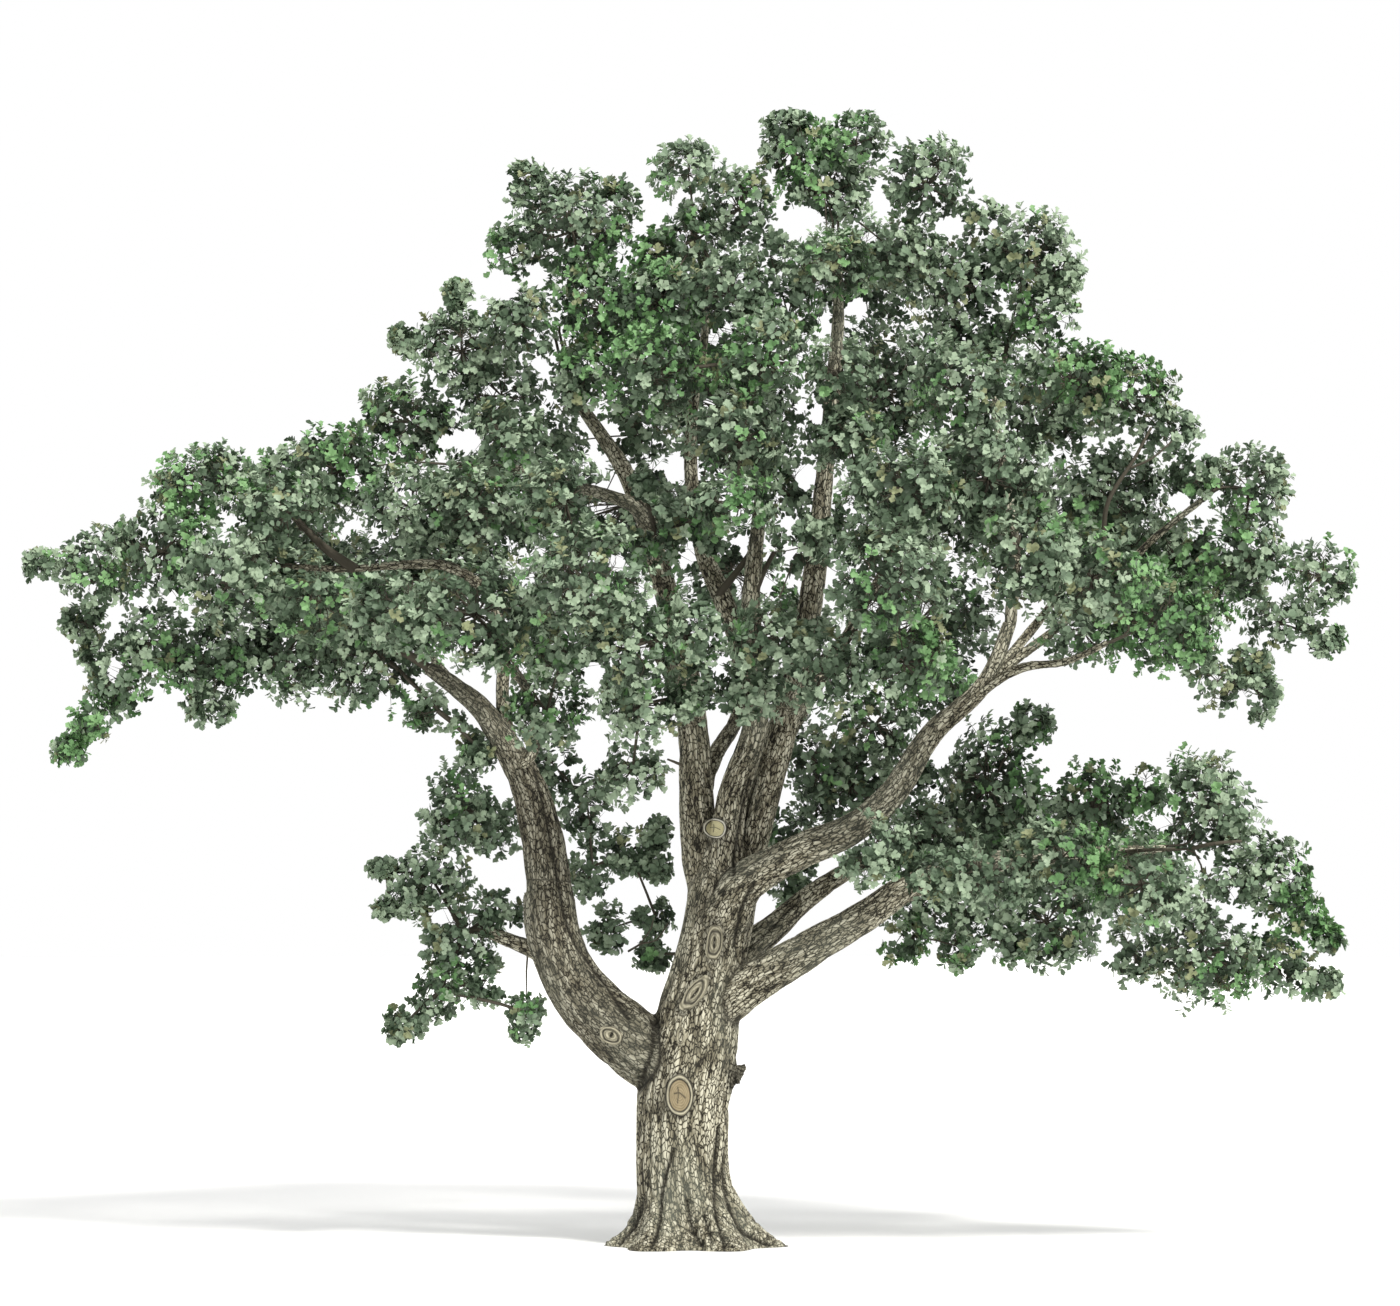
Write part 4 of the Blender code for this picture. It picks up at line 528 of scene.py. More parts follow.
def one_skin(name, lines, voxel):
    """One skin round the closed tubes of all the limbs."""
    points, faces = [], []
    for line in lines:
        tube = tube_points(line, TRUNK_SIDES if line.upright else LIMB_SIDES)
        first, (rings, sides) = len(points), tube.shape[:2]
        points += tube.reshape(-1, 3).tolist()
        faces += (ring_faces(rings, sides) + first).tolist()
        faces += [range(first, first + sides)[::-1], range(len(points) - sides, len(points))]
    mesh = bpy.data.meshes.new(name)
    mesh.from_pydata(points, [], faces)
    holder = placed(name, mesh)
    modifier = holder.modifiers.new("skin", "REMESH")
    modifier.mode, modifier.voxel_size = "VOXEL", voxel
    drawn = holder.evaluated_get(bpy.context.evaluated_depsgraph_get())
    skin = bpy.data.meshes.new_from_object(drawn)
    bpy.data.objects.remove(holder, do_unlink=True)
    bpy.data.meshes.remove(mesh)
    return skin


def smoothed(points, edges, rounds, share):
    """Laplacian smoothing: each point moves towards the mean of its neighbours."""
    a, b = edges.T
    count = np.bincount(edges.ravel(), minlength=len(points))[:, None]
    for _ in range(rounds):
        total = [np.bincount(a, p[b], len(p)) + np.bincount(b, p[a], len(p)) for p in points.T]
        points = points + share[:, None] * (np.stack(total, 1) / count - points)
    return points


def skin_gap(points, line):
    """How far each point is from a limb's skin, and the nearest station; the upright trunk's is by height."""
    if line.upright:
        where = np.clip(np.searchsorted(line.places[:, 2], points[:, 2]), 0, len(line.places) - 1)
        return np.linalg.norm(points - line.places[where], axis=1) - line.radii[where], where
    gap = np.linalg.norm(points[:, None, :] - line.places[None], axis=2) - line.radii[None]
    where = gap.argmin(1)
    return gap[np.arange(len(points)), where], where


def nearest_limbs(points, lines):
    """For each point the two limbs whose skins are nearest: the gaps, the limbs and the stations on them."""
    gaps = np.full((len(lines), len(points)), 1e9)
    stations = np.zeros(gaps.shape, int)
    for number, line in enumerate(lines):
        margin = line.radii.max() + 0.5
        near = (points > line.places.min(0) - margin) & (points < line.places.max(0) + margin)
        near = np.nonzero(near.all(1))[0]
        for part in np.array_split(near, 1 + len(near) // 20000):
            gaps[number, part], stations[number, part] = skin_gap(points[part], line)
    owner = np.argsort(gaps, 0, kind="stable")[:2]
    return np.take_along_axis(gaps, owner, 0), owner, np.take_along_axis(stations, owner, 0)


def limb_coordinates(points, lines, owner, station):
    """Places in the limbs' straightened frames (across, upward and along), their radii and their ways."""
    row = np.cumsum([0] + [len(line.run) for line in lines])[owner] + station
    place, across, upward, forward, run, radius = (
        np.concatenate([getattr(line, part) for line in lines])[row]
        for part in ("places", "across", "upward", "forward", "run", "radii"))
    x, y, z = (((points - place) * way).sum(1) for way in (across, upward, forward))
    return np.stack([x, y, run + z], 1), radius, forward


RIDGE_WIDTH = 0.15          # bark ridges on the trunk
THIN_LIMB, THIN_RIDGES = 0.42, 0.72   # limbs under this radius have ridges narrower by this share
RIDGE_STRETCH = 0.15        # their width against their length


def bark_relief(local, radius, number):
    """Height of the bark from 0 in its furrows to 1 on its ridges: cells stretched along the limb, warped."""
    width = RIDGE_WIDTH * np.where(radius < THIN_LIMB, THIN_RIDGES, 1.0)
    q = local / width[:, None] * (1.0, 1.0, RIDGE_STRETCH) + number[:, None] * 17.3
    height = []
    for place in q.tolist():
        p = Vector(place)
        p += noise.noise_vector(p * 0.33) * 0.9
        d = noise.voronoi(p)[0]
        height.append(d[1] - d[0] + 0.18 * noise.noise(p * 2.7))
    return np.clip(np.array(height) / 0.42, 0.0, 1.0)


def view_plane(points):
    """Where points appear on the plane through the trunk, seen from the front."""
    scale = -VIEW_POINT.y / (points[:, 1] - VIEW_POINT.y)
    return [VIEW_POINT[i] + (points[:, i] - VIEW_POINT[i]) * scale for i in (0, 2)]


# Ovals on the front: sideways place, height, half width, half height and tilt. Each knot is in its limb's node.
KNOTS = [
    ("left_limb_low", (-1.34, 3.65, 0.235, 0.165, -25)),
    ("trunk", (0.12, 4.38, 0.165, 0.38, -38)),
    ("trunk", (0.46, 5.26, 0.17, 0.34, -5)),
]
BARK_SLIT = (-0.12, 3.63, 0.10, 0.21, -4)
SAW_CUT = (-0.145, 2.60, 0.22, 0.34, 0)     # wound of a sawn bough on the trunk
FORK_CUT = (0.48, 7.25, 0.19, 0.165, 0)     # and of a smaller one below the stems' fork
# Painted shadows beside the wounds, darkening the bark in these ovals.
PAINTED_WOUND_SHADOWS = [(-0.46, 2.40, 0.13, 0.28, 0), (0.32, 7.12, 0.13, 0.20, 0), (0.50, 7.03, 0.24, 0.10, 0)]
STUB_PLACE, STUB_SIZE = (0.80, -0.08, 2.93), (0.14, 0.15, 0.20)
STUB_SPIKE = (0.9, 0.0, 0.55)               # direction of the splinter left on it
# Flutes down the front, their grooves darkened with painted shade: points (sideways place, height), half width
# and depth.
FLUTES = [
    ([(-0.28, 1.62), (-0.45, 1.0), (-0.51, 0.42), (-0.63, 0.0)], 0.060, 0.075),
    ([(-0.02, 0.77), (0.07, 0.31), (0.20, 0.05)], 0.055, 0.080),
    ([(0.28, 0.51), (0.40, 0.08)], 0.050, 0.065),
    ([(0.56, 2.03), (0.51, 1.22), (0.53, 0.51), (0.63, 0.03)], 0.060, 0.080),
    ([(0.68, 1.80), (0.68, 1.0), (0.89, 0.41), (1.08, 0.20), (1.44, 0.05)], 0.055, 0.070),
    ([(-0.80, 0.80), (-0.95, 0.35), (-1.2, 0.05)], 0.055, 0.060),
    ([(-0.63, 4.17), (-0.58, 3.73), (-0.66, 3.29), (-0.86, 2.77)], 0.075, 0.110),
    ([(-2.66, 8.33), (-2.33, 6.75), (-2.17, 5.85), (-1.94, 5.25), (-1.49, 4.67), (-1.03, 3.96)], 0.06, 0.06),
    ([(0.83, 5.2), (0.98, 5.9), (1.15, 6.3)], 0.060, 0.060),
    ([(1.00, 5.08), (1.50, 5.55), (1.95, 6.02)], 0.040, 0.045),
    ([(1.20, 4.95), (1.72, 5.42), (2.25, 5.92)], 0.040, 0.045),
    ([(0.77, 6.46), (0.93, 7.3), (1.04, 7.8), (1.13, 8.1)], 0.060, 0.070),
]


def oval_share(x, z, oval):
    """Share of an oval's reach at each place, 1 on its edge."""
    cx, cz, half_width, half_height, tilt = oval
    turn = math.radians(tilt)
    u = ((x - cx) * math.cos(turn) + (z - cz) * math.sin(turn)) / half_width
    v = (-(x - cx) * math.sin(turn) + (z - cz) * math.cos(turn)) / half_height
    return np.hypot(u, v)


def off_route(x, z, route, step):
    """How far each place is from a smooth line through the route."""
    near = [np.hypot(x - p.x, z - p.y) for p in smooth_route([(*place, 0.0) for place in route], step)]
    return np.min(near, axis=0)


def bark_features(points, normals):
    """What shows from the front: how far each point moves out, how much relief is taken away there and a
    darkening: painted shade in the creases round knots and wounds, along the flutes and beside the wounds,
    and a darker patch on and round the stub. The skin sinks under knots and wounds, which are laid over it,
    and folds along the flutes."""
    front = np.clip((-normals[:, 1] - 0.05) / 0.3, 0, 1)
    x, z = view_plane(points)
    move, plain, dark = np.zeros((3, len(points)))
    for oval in [knot for _, knot in KNOTS] + [SAW_CUT, FORK_CUT]:
        r = oval_share(x, z, oval)
        move -= 0.06 * front * hill(r / 0.92, 8)
        plain = np.maximum(plain, front * hill(r / 1.15, 8))
        # painted shade in the crease round each knot and wound
        dark = np.maximum(dark, 0.65 * front * hill((r - 1.12) / 0.14))
    for route, half_width, depth in FLUTES:
        away = off_route(x, z, route, 0.05) / half_width
        move -= depth * front * hill(away)
        # painted shade in the flute's groove
        dark = np.maximum(dark, front * hill(away / 0.7, 4))
    # painted shadows beside the wounds
    for oval in PAINTED_WOUND_SHADOWS:
        dark = np.maximum(dark, 0.6 * front * hill(oval_share(x, z, oval)))
    off_stub = np.linalg.norm((points - STUB_PLACE) / STUB_SIZE, axis=1)
    return move, plain, np.maximum(dark, 0.9 * hill(off_stub / 1.7, 4))


PLATE_STRETCH = 0.42        # the fine plates' width against their length
GREAT_LIMB = 0.30           # limbs at least this thick at the root share the trunk's skin
GREAT_VOXEL, BOUGH_VOXEL = 0.028, 0.040
FOOT = 0.03                 # the skin's cut on the ground, up to here
SMOOTHING, CROTCH_SMOOTHING, CROTCH_WIDTH = 0.10, 0.45, 0.12
SHARED_BARK = 0.10          # where two limbs' skins are this near, their reliefs blend
RELIEF_DEPTH = 0.036        # of the deepest furrows, on the trunk
SWELLING = 0.035
SEAM_SHADE_WIDTH = 0.07           # painted shade in the crease where limbs meet without growing from one another
PAINTED_LIMB_SHADE = 0.42          # painted shade: the left limb's bark is that much darker


def bark_skin(name, names, voxel, material):
    """The trunk or limbs in one skin, with plates and furrows, replacing their solids."""
    lines = [trunk_line() if label == "trunk" else limb_line(label) for label in names]
    skin = one_skin(name, lines, voxel)
    points = read(skin.vertices, "co").astype(float)
    (gap, gap_b), owners, stations = nearest_limbs(points, lines)
    between = gap_b - gap
    foot = points[:, 2] < FOOT
    share = SMOOTHING + CROTCH_SMOOTHING * hill(between / CROTCH_WIDTH, 1)
    points = smoothed(points, read(skin.edges, "vertices", 2, np.int64), 14, np.where(foot, 0.0, share))
    write(skin.vertices, "co", points)
    skin.update()
    normals = read(skin.vertex_normals, "vector").astype(float)
    tree = BVHTree.FromPolygons(points.tolist(), [tuple(f.vertices) for f in skin.polygons])

    owner, owner_b = owners
    local, radius, way = limb_coordinates(points, lines, owner, stations[0])
    local_b, radius_b, way_b = limb_coordinates(points, lines, owner_b, stations[1])
    relief = bark_relief(local, radius, owner)
    near = between < SHARED_BARK
    other = bark_relief(local_b[near], radius_b[near], owner_b[near])
    relief[near] += 0.5 * (1 - between[near] / SHARED_BARK) * (other - relief[near])
    move, plain, dark = bark_features(points, normals)
    swell = np.array([noise.noise(Vector(p)) for p in (points * (1.1, 1.1, 0.7)).tolist()])
    height = 1 - (1 - relief) * (1 - plain)
    depth = RELIEF_DEPTH * np.clip(0.25 + 1.1 * radius, 0.3, 1.0)
    lift = SWELLING * swell * np.clip(radius * 2, 0, 1) * (1 - plain) + move + depth * (0.9 * height - 0.55)

    def apart(a, b):
        return "trunk" not in (a, b) and a != b and LIMBS[a].parent != b and LIMBS[b].parent != a

    strangers = np.array([[apart(a, b) for b in names] for a in names])
    across = np.clip(2.5 * (1 - np.abs((way * way_b).sum(1))), 0.0, 1)
    across = np.maximum(across, 0.8 * strangers[owner, owner_b])
    # Painted shade along the crease where limbs meet across one another.
    dark = np.maximum(dark, 0.95 * across * hill(between / SEAM_SHADE_WIDTH, 1.5))
    # painted shade on the left limb's bark
    shaded = [PAINTED_LIMB_SHADE if label.startswith("left_limb") else 0.0 for label in names]
    points = points + normals * np.where(foot, 0.0, lift)[:, None]
    points[:, 2] = np.where(foot, 0.0, np.maximum(points[:, 2], 0.0))
    write(skin.vertices, "co", points)
    give(skin, relief=height, shade=np.maximum(dark, np.array(shaded)[owner]),
         grain=local * (1.0, 1.0, PLATE_STRETCH) + owner[:, None] * 3.7)
    skin.update()
    show(name, skin, material, names)
    return tree


# ---- knots, wounds and the stub: lift and darkness by the share of the oval's reach and of its half sizes


def eye_shape(r, u, v):
    """A healed knot: a round lip, an inner ring and a slit, with painted shade in the groove
    between lip and ring, in the slit and round the edge.
    """
    slit = (u / 0.13) ** 2 + (v / 0.42) ** 2
    lift = 0.045 * hill((r - 0.80) / 0.14) + 0.03 * hill((r - 0.38) / 0.11)
    lift -= 0.05 * hill(slit, 1) + 0.05 * np.clip((r - 0.9) / 0.1, 0, 1)
    dark = np.maximum(0.95 * hill((r - 0.60) / 0.085), 0.97 * hill(slit))
    return lift, np.maximum(dark, 0.95 * hill((r - 1.0) / 0.10))


def slit_shape(r, u, v):
    """Two low lips round a slit in the bark, darkened with painted shade."""
    lift = 0.03 * hill((r - 0.62) / 0.22) - 0.045 * np.clip((r - 0.75) / 0.25, 0, 1)
    return lift, 0.97 * hill((u / 0.36) ** 2 + (v / 0.80) ** 2)


def callus_shape(fold):
    """The rounded rim that grows over a wound's edge, between two folds of that share's width darkened with
    painted shade.
    """
    def shape(r, u, v):
        lift = 0.065 * np.sqrt(np.clip(1 - ((r - 0.97) / 0.18) ** 2, 0, 1)) - 0.02
        return lift, np.maximum(0.97 * hill((r - 1.12) / fold), 0.95 * hill((r - 0.84) / (0.75 * fold)))
    return shape


# Cracks across a sawn face, in shares of its half width and half height.
FACE_CRACKS = [[(-0.14, 0.42), (-0.10, 0.1), (-0.16, -0.38)], [(-0.42, 0.10), (0.0, 0.12), (0.46, -0.12)]]


def sawn_shape(r, u, v):
    """The sawn wood inside the rim, flat, with a few cracks."""
    away = np.min([off_route(u, v, crack, 0.04) for crack in FACE_CRACKS], axis=0)
    return 0.012 + 0 * r, 0.9 * hill(away / 0.045)


LAID_RINGS, LAID_SIDES = 22, 64


def laid_patch(name, node, tree, oval, shape, share, material, uneven=0.0):
    """A fine patch over the skin, between two shares of an oval seen from the front."""
    cx, cz, half_width, half_height, tilt = oval
    turn = math.radians(tilt)
    r = np.linspace(*share, LAID_RINGS + 1)[:, None]
    angle = 2 * math.pi * np.arange(LAID_SIDES) / LAID_SIDES
    u, v = (r * np.cos(angle)).ravel(), (r * np.sin(angle)).ravel()
    x = cx + u * half_width * math.cos(turn) - v * half_height * math.sin(turn)
    z = cz + u * half_width * math.sin(turn) + v * half_height * math.cos(turn)
    hits = []
    for a, b in zip(x, z):
        through = Vector((a, 0.0, b))
        way = (through - VIEW_POINT).normalized()
        hits.append(tree.ray_cast(through - way * 4.0, way)[:2])
    places, normals = np.array(hits).transpose(1, 0, 2)
    reach = np.hypot(u, v)
    waver = np.array([noise.noise((a * 1.6 + cx * 9, b * 1.6, 2 * cz)) for a, b in zip(u, v)])
    lift, dark = shape(reach * (1 + uneven * waver), u, v)
    faces = np.roll(ring_faces(LAID_RINGS + 1, LAID_SIDES)[:, ::-1], 1, 1)
    mesh = array_mesh(name, places + unit(normals.mean(0)) * lift[:, None], faces)
    mean = (half_width + half_height) / 2
    round_way = np.tile(angle, LAID_RINGS + 1) * mean * 0.75
    give(mesh, relief=0.9 + 0 * reach, shade=dark, ring=reach,
         grain=np.stack([reach * mean, 0 * reach, round_way * PLATE_STRETCH], 1) + cx)
    show(name, mesh, material, [node])


def make_stub(material):
    """The knobbly rest of a lost branch on the trunk's right side."""
    bm = bmesh.new()
    bmesh.ops.create_icosphere(bm, subdivisions=5, radius=1.0)
    spike = Vector(STUB_SPIKE).normalized()
    for vert in bm.verts:
        way = vert.co.normalized()
        lump = 0.38 * noise.noise(way * 1.9 + Vector((3.0, 1.0, 0.0))) + 0.22 * noise.noise(way * 5.0)
        lump += 0.75 * max(0.0, way.dot(spike)) ** 24
        lump -= 0.35 * max(0.0, way.dot(-spike.cross((0, 1, 0)))) ** 3
        vert.co = Vector(STUB_PLACE) + way * (1 + lump) * Vector(STUB_SIZE)
    mesh = bpy.data.meshes.new("stub")
    bm.to_mesh(mesh)
    bm.free()
    points = read(mesh.vertices, "co").astype(float)
    mottle = np.array([noise.noise(Vector(p)) for p in (points * 9).tolist()])
    give(mesh, relief=0.6 + 0 * mottle, shade=0.78 + 0.3 * mottle, grain=points)
    show("stub", mesh, material, ["trunk"])


def mark_trunk(tree, bark):
    callus, weathered_lit_rim = (ringed_material(*row, 30.0, 0.7) for row in (CALLUS, WEATHERED_LIT_CALLUS))
    wood, weathered_lit_face = (ringed_material(*row, 48.0, 0.1) for row in (SAWN_WOOD, WEATHERED_LIT_WOOD))
    for i, (node, knot) in enumerate(KNOTS):
        laid_patch(f"knot_{i + 1}", node, tree, knot, eye_shape, (0.02, 1.0), callus, 0.28)
    laid_patch("bark_slit", "trunk", tree, BARK_SLIT, slit_shape, (0.02, 1.0), callus)
    # The fork's wound takes the paler tones: weathering and painted light.
    for name, oval, fold, rim, face in (("saw_cut", SAW_CUT, 0.08, callus, wood),
                                        ("fork_cut", FORK_CUT, 0.11, weathered_lit_rim, weathered_lit_face)):
        laid_patch(name + "_rim", "trunk", tree, oval, callus_shape(fold), (0.80, 1.14), rim, 0.10)
        laid_patch(name + "_face", "trunk", tree, oval, sawn_shape, (0.01, 0.87), face)
    make_stub(bark)


# ---- materials


class Nodes:
    """Short hand for building a material's nodes."""

    def __init__(self, name):
        self.material = bpy.data.materials.new(name)
        self.material.use_nodes = True
        self.tree = self.material.node_tree

    def put(self, socket, value):
        """A link from another node, a colour or a plain value."""
        if isinstance(value, bpy.types.NodeSocket):
            self.tree.links.new(value, socket)
        else:
            socket.default_value = (*value, 1.0) if isinstance(value, tuple) else value

    def add(self, kind, settings=(), **inputs):
        """A new node's outputs; inputs go by name, or by number after an underscore."""
        node = self.tree.nodes.new("ShaderNode" + kind)
        for key, value in dict(settings).items():
            setattr(node, key, value)
        for key, value in inputs.items():
            self.put(node.inputs[int(key[1:]) if key[1:].isdigit() else key], value)
        return node.outputs

    def read(self, name, output="Fac"):
        """An attribute of the mesh."""
        return self.add("Attribute", {"attribute_name": name})[output]

    def maths(self, operation, a, b=0.0, c=0.0, clamp=False):
        return self.add("Math", {"operation": operation, "use_clamp": clamp}, _0=a, _1=b, _2=c)[0]

    def varied(self, value, by, share):
        """A value plus a share of how far another one is from a half."""
        return self.maths("MULTIPLY_ADD", self.maths("SUBTRACT", by, 0.5), share, value)

    def mix(self, factor, a, b):
        return self.add("Mix", {"data_type": "RGBA"}, _0=factor, _6=a, _7=b)[2]

    def ramp(self, factor, *stops):
        node = self.tree.nodes.new("ShaderNodeValToRGB")
        self.put(node.inputs["Fac"], factor)
        elements = node.color_ramp.elements
        while len(elements) < len(stops):
            elements.new(0.5)
        for element, (place, colour) in zip(elements, stops):
            element.position, element.color = place, (*colour, 1.0)
        return node.outputs["Color"]

    def paint(self, bump=None, **inputs):
        """The material, with these shader inputs and a bump's height, strength and distance."""
        if bump:
            inputs["Normal"] = self.add("Bump", Height=bump[0], Strength=bump[1], Distance=bump[2])["Normal"]
        for key, value in inputs.items():
            self.put(self.tree.nodes["Principled BSDF"].inputs[key.replace("_", " ")], value)
        return self.material


def plain_material(name, colour, roughness, specular=0.3):
    return Nodes(name).paint(Base_Color=colour, Roughness=roughness, Specular_IOR_Level=specular)


# dark of the cracks, also the colour of the painted shade
BARK_CRACK_AND_SHADE = (0.016, 0.014, 0.010)
BARK_SIDE = (0.215, 0.195, 0.135)
BARK_PLATE = (0.54, 0.515, 0.40)
BARK_LICHEN = (0.40, 0.43, 0.34)
PLATES_A_METRE = 20.0       # fine plates across the grain


def bark_material():
    """Khaki plates split by dark cracks, deeper furrows between the ridges, greyer patches and dark knots, and
    painted shade in creases, flutes and seams, beside wounds and on the left limb, and darker bark by the stub.
    """
    n = Nodes("bark")
    grain = n.read("grain", "Vector")
    wander = n.add("TexNoise", Vector=grain, Scale=11.0, Detail=3.0)["Color"]
    warped = n.add("VectorMath", {"operation": "MULTIPLY_ADD"}, _0=wander, _1=[0.08] * 3, _2=grain)[0]
    edges = n.add("TexVoronoi", {"feature": "DISTANCE_TO_EDGE"}, Vector=warped, Scale=PLATES_A_METRE)
    plates = n.add("TexVoronoi", Vector=warped, Scale=PLATES_A_METRE)
    tint = n.add("SeparateColor", Color=plates["Color"])[0]
    fine = n.add("TexNoise", Vector=grain, Scale=42.0, Detail=4.0, Roughness=0.65)["Fac"]
    patch = n.add("TexNoise", Vector=grain, Scale=1.1, Detail=3.0)["Fac"]
    crack = n.maths("MULTIPLY", n.varied(edges["Distance"], fine, 0.16), 7.0, clamp=True)
    height = n.maths("MULTIPLY", crack, n.maths("MULTIPLY_ADD", n.read("relief"), 0.74, 0.26))
    tone = n.varied(n.varied(height, tint, 0.30), fine, 0.40)
    colour = n.ramp(tone, (0.14, BARK_CRACK_AND_SHADE), (0.42, BARK_SIDE), (0.90, BARK_PLATE))
    lichen = n.maths("MULTIPLY", n.maths("SUBTRACT", patch, 0.45), 1.6)
    colour = n.mix(lichen, colour, n.mix(0.5, colour, BARK_LICHEN))
    # painted shade and dark marks from the skin's shade attribute
    colour = n.mix(n.maths("MULTIPLY", n.read("shade"), 0.92), colour, BARK_CRACK_AND_SHADE)
    return n.paint((height, 1.0, 0.02), Base_Color=colour, Roughness=0.92, Specular_IOR_Level=0.25)


# Smoother bark round knots and wounds, and sawn wood: dark and pale tone. The fork's wound is paler,
# partly from weathering and partly as painted light against the crown's shadow on it.
CALLUS = "callus_bark", (0.17, 0.155, 0.105), (0.44, 0.41, 0.30)
WEATHERED_LIT_CALLUS = "weathered_painted_light_callus", (0.50, 0.47, 0.38), (0.78, 0.76, 0.65)
SAWN_WOOD = "sawn_wood", (0.190, 0.150, 0.084), (0.290, 0.235, 0.140)
WEATHERED_LIT_WOOD = "weathered_painted_light_wood", (0.42, 0.38, 0.22), (0.55, 0.51, 0.30)


def ringed_material(name, dark, pale, rings, bump):
    """Wavering rings from a dark to a pale tone, with painted shade in the shape's folds, grooves and slits and
    the dark cracks of the sawn faces.
    """
    n = Nodes(name)
    wander = n.add("TexNoise", Vector=n.read("grain", "Vector"), Scale=16.0, Detail=4.0, Roughness=0.6)["Fac"]
    ring = n.maths("MULTIPLY_ADD", n.read("ring"), rings, n.maths("MULTIPLY", wander, 8.0))
    tone = n.maths("MULTIPLY_ADD", n.maths("SINE", ring), 0.25, n.maths("MULTIPLY", wander, 0.9))
    # painted shade in folds and slits, and the cracks of sawn wood
    colour = n.mix(n.read("shade"), n.ramp(tone, (0.15, dark), (0.70, pale)), BARK_CRACK_AND_SHADE)
    return n.paint((tone, bump, 0.01), Base_Color=colour, Roughness=0.9)


# ---- each mass's own space


def lobe_reach(half_width, half_height):
    return np.array((half_width, LOBE_DEPTH * (half_width + half_height) / 2, half_height))


NAMES = list(MASSES)
LOBE_ROWS = [(i, *lobe) for i, name in enumerate(NAMES) for lobe in MASSES[name].lobes]
OWNER = np.array([row[0] for row in LOBE_ROWS])
CENTRE = np.array([row[1:4] for row in LOBE_ROWS])
REACH = np.array([lobe_reach(*row[4:]) for row in LOBE_ROWS])


def inside_box(points):
    """Which points stay inside the solids' own extent."""
    return (points > CAD_LOW).all(1) & (points < CAD_HIGH).all(1)


def clear_of(points, windows):
    """Which points stay out of the open lines of sight."""
    x, z = view_plane(points)
    free = np.ones(len(points), bool)
    for wx, wz, half_width, half_height in windows:
        free &= np.hypot((x - wx) / half_width, (z - wz) / half_height) > 1.0
    return free


def own_space(mass, points, slack=0.0):
    """Which points lie within a mass's lobes, nearer to them than to any other mass's, and in no clear view."""
    far = np.linalg.norm((points[:, None, :] - CENTRE) / REACH, axis=2)
    mine = far[:, OWNER == mass].min(1)
    others = far[:, OWNER != mass].min(1)
    return (mine < 1.0 + slack) & (mine + SPACE_GAP < others) & clear_of(points, CLEAR_VIEWS)


RAY_STEPS = np.linspace(0.05, 1.0, 20)


def free_shares(mass, centre, rays):
    """How much of each ray out of a lobe's centre stays in the mass's own space."""
    points = centre + RAY_STEPS[None, :, None] * rays[:, None, :]
    inside = own_space(mass, points.reshape(-1, 3)).reshape(len(rays), -1)
    return np.where(inside.all(1), 1.0, RAY_STEPS[inside.argmin(1)] - RAY_STEPS[0])


def bare_samples():
    """Points along the stretches of limb that show from the front, with their radii."""
    places, radii = [], []
    for name, low, high in BARE_STRETCHES:
        line = limb_line(name)
        shown = (line.places[:, 2] > low) & (line.places[:, 2] < high)
        places.append(line.places[shown][::2])
        radii.append(line.radii[shown][::2])
    for root, tip, hidden, route in BARE_BRANCHES:
        route = np.array(smooth_route(route, 0.12))
        share = np.linspace(0, 1, len(route))
        places.append(route[share >= hidden])
        radii.append((root + (tip - root) * share)[share >= hidden] + 0.03)
    places = np.concatenate(places)
    return list(zip(*view_plane(places), places[:, 1], np.concatenate(radii)))


BARE_SAMPLES = bare_samples()


def leaves_limbs_bare(points, margin=0.0):
    """Which points don't stand before a bare stretch of limb."""
    x, z = view_plane(points)
    free = np.ones(len(points), bool)
    for bx, bz, by, radius in BARE_SAMPLES:
        free &= (np.hypot(x - bx, z - bz) > radius + margin) | (points[:, 1] > by + radius)
    return free


# ---- foliage


def around(axis, angle, guide=(0.31, 0.17, 0.93)):
    """Directions square to each axis, turned about it by the angle."""
    side, angle = unit(np.cross(axis, guide)), np.reshape(angle, (-1, 1))
    return side * np.cos(angle) + np.cross(axis, side) * np.sin(angle)


def stem_slots():
    """Where each mass's stem starts at its bough's tip, side by side where several share it."""
    slots = {}
    for bough in dict.fromkeys(mass.bough for mass in MASSES.values()):
        sharing = [name for name in NAMES if MASSES[name].bough == bough]
        if bough == "trunk":
            for name in sharing:
                hub = Vector(MASSES[name].lobes[0][:3])
                axis = Vector((0.5, 0.0, hub.z))
                outward = (hub - axis).normalized()
                slots[name] = (axis + outward * 0.5, outward, 0.05)
            continue
        limb = LIMBS[bough]
        route = smooth_route(limb.route, BOUGH_STEP if limb.root_radius > THICK_LIMB else THIN_STEP)
        tip, forward = route[-1], (route[-1] - route[-2]).normalized()
        across = forward.orthogonal().normalized()
        upward = forward.cross(across)
        angles = {}
        for name in sharing:
            aim = Vector(MASSES[name].lobes[0][:3]) - tip
            angles[name] = math.atan2(aim.dot(upward), aim.dot(across))
        sharing.sort(key=angles.get)
        turn = 2 * math.pi / len(sharing)
        offs = [angles[name] - i * turn for i, name in enumerate(sharing)]
        spin = math.atan2(sum(map(math.sin, offs)), sum(map(math.cos, offs)))
        offset, share = (0.0, 0.8) if len(sharing) == 1 else (0.58, 0.38)
        for i, name in enumerate(sharing):
            angle = spin + i * turn
            side = across * math.cos(angle) + upward * math.sin(angle)
            slots[name] = (tip + side * offset * limb.tip_radius, forward, share * limb.tip_radius)
    return slots


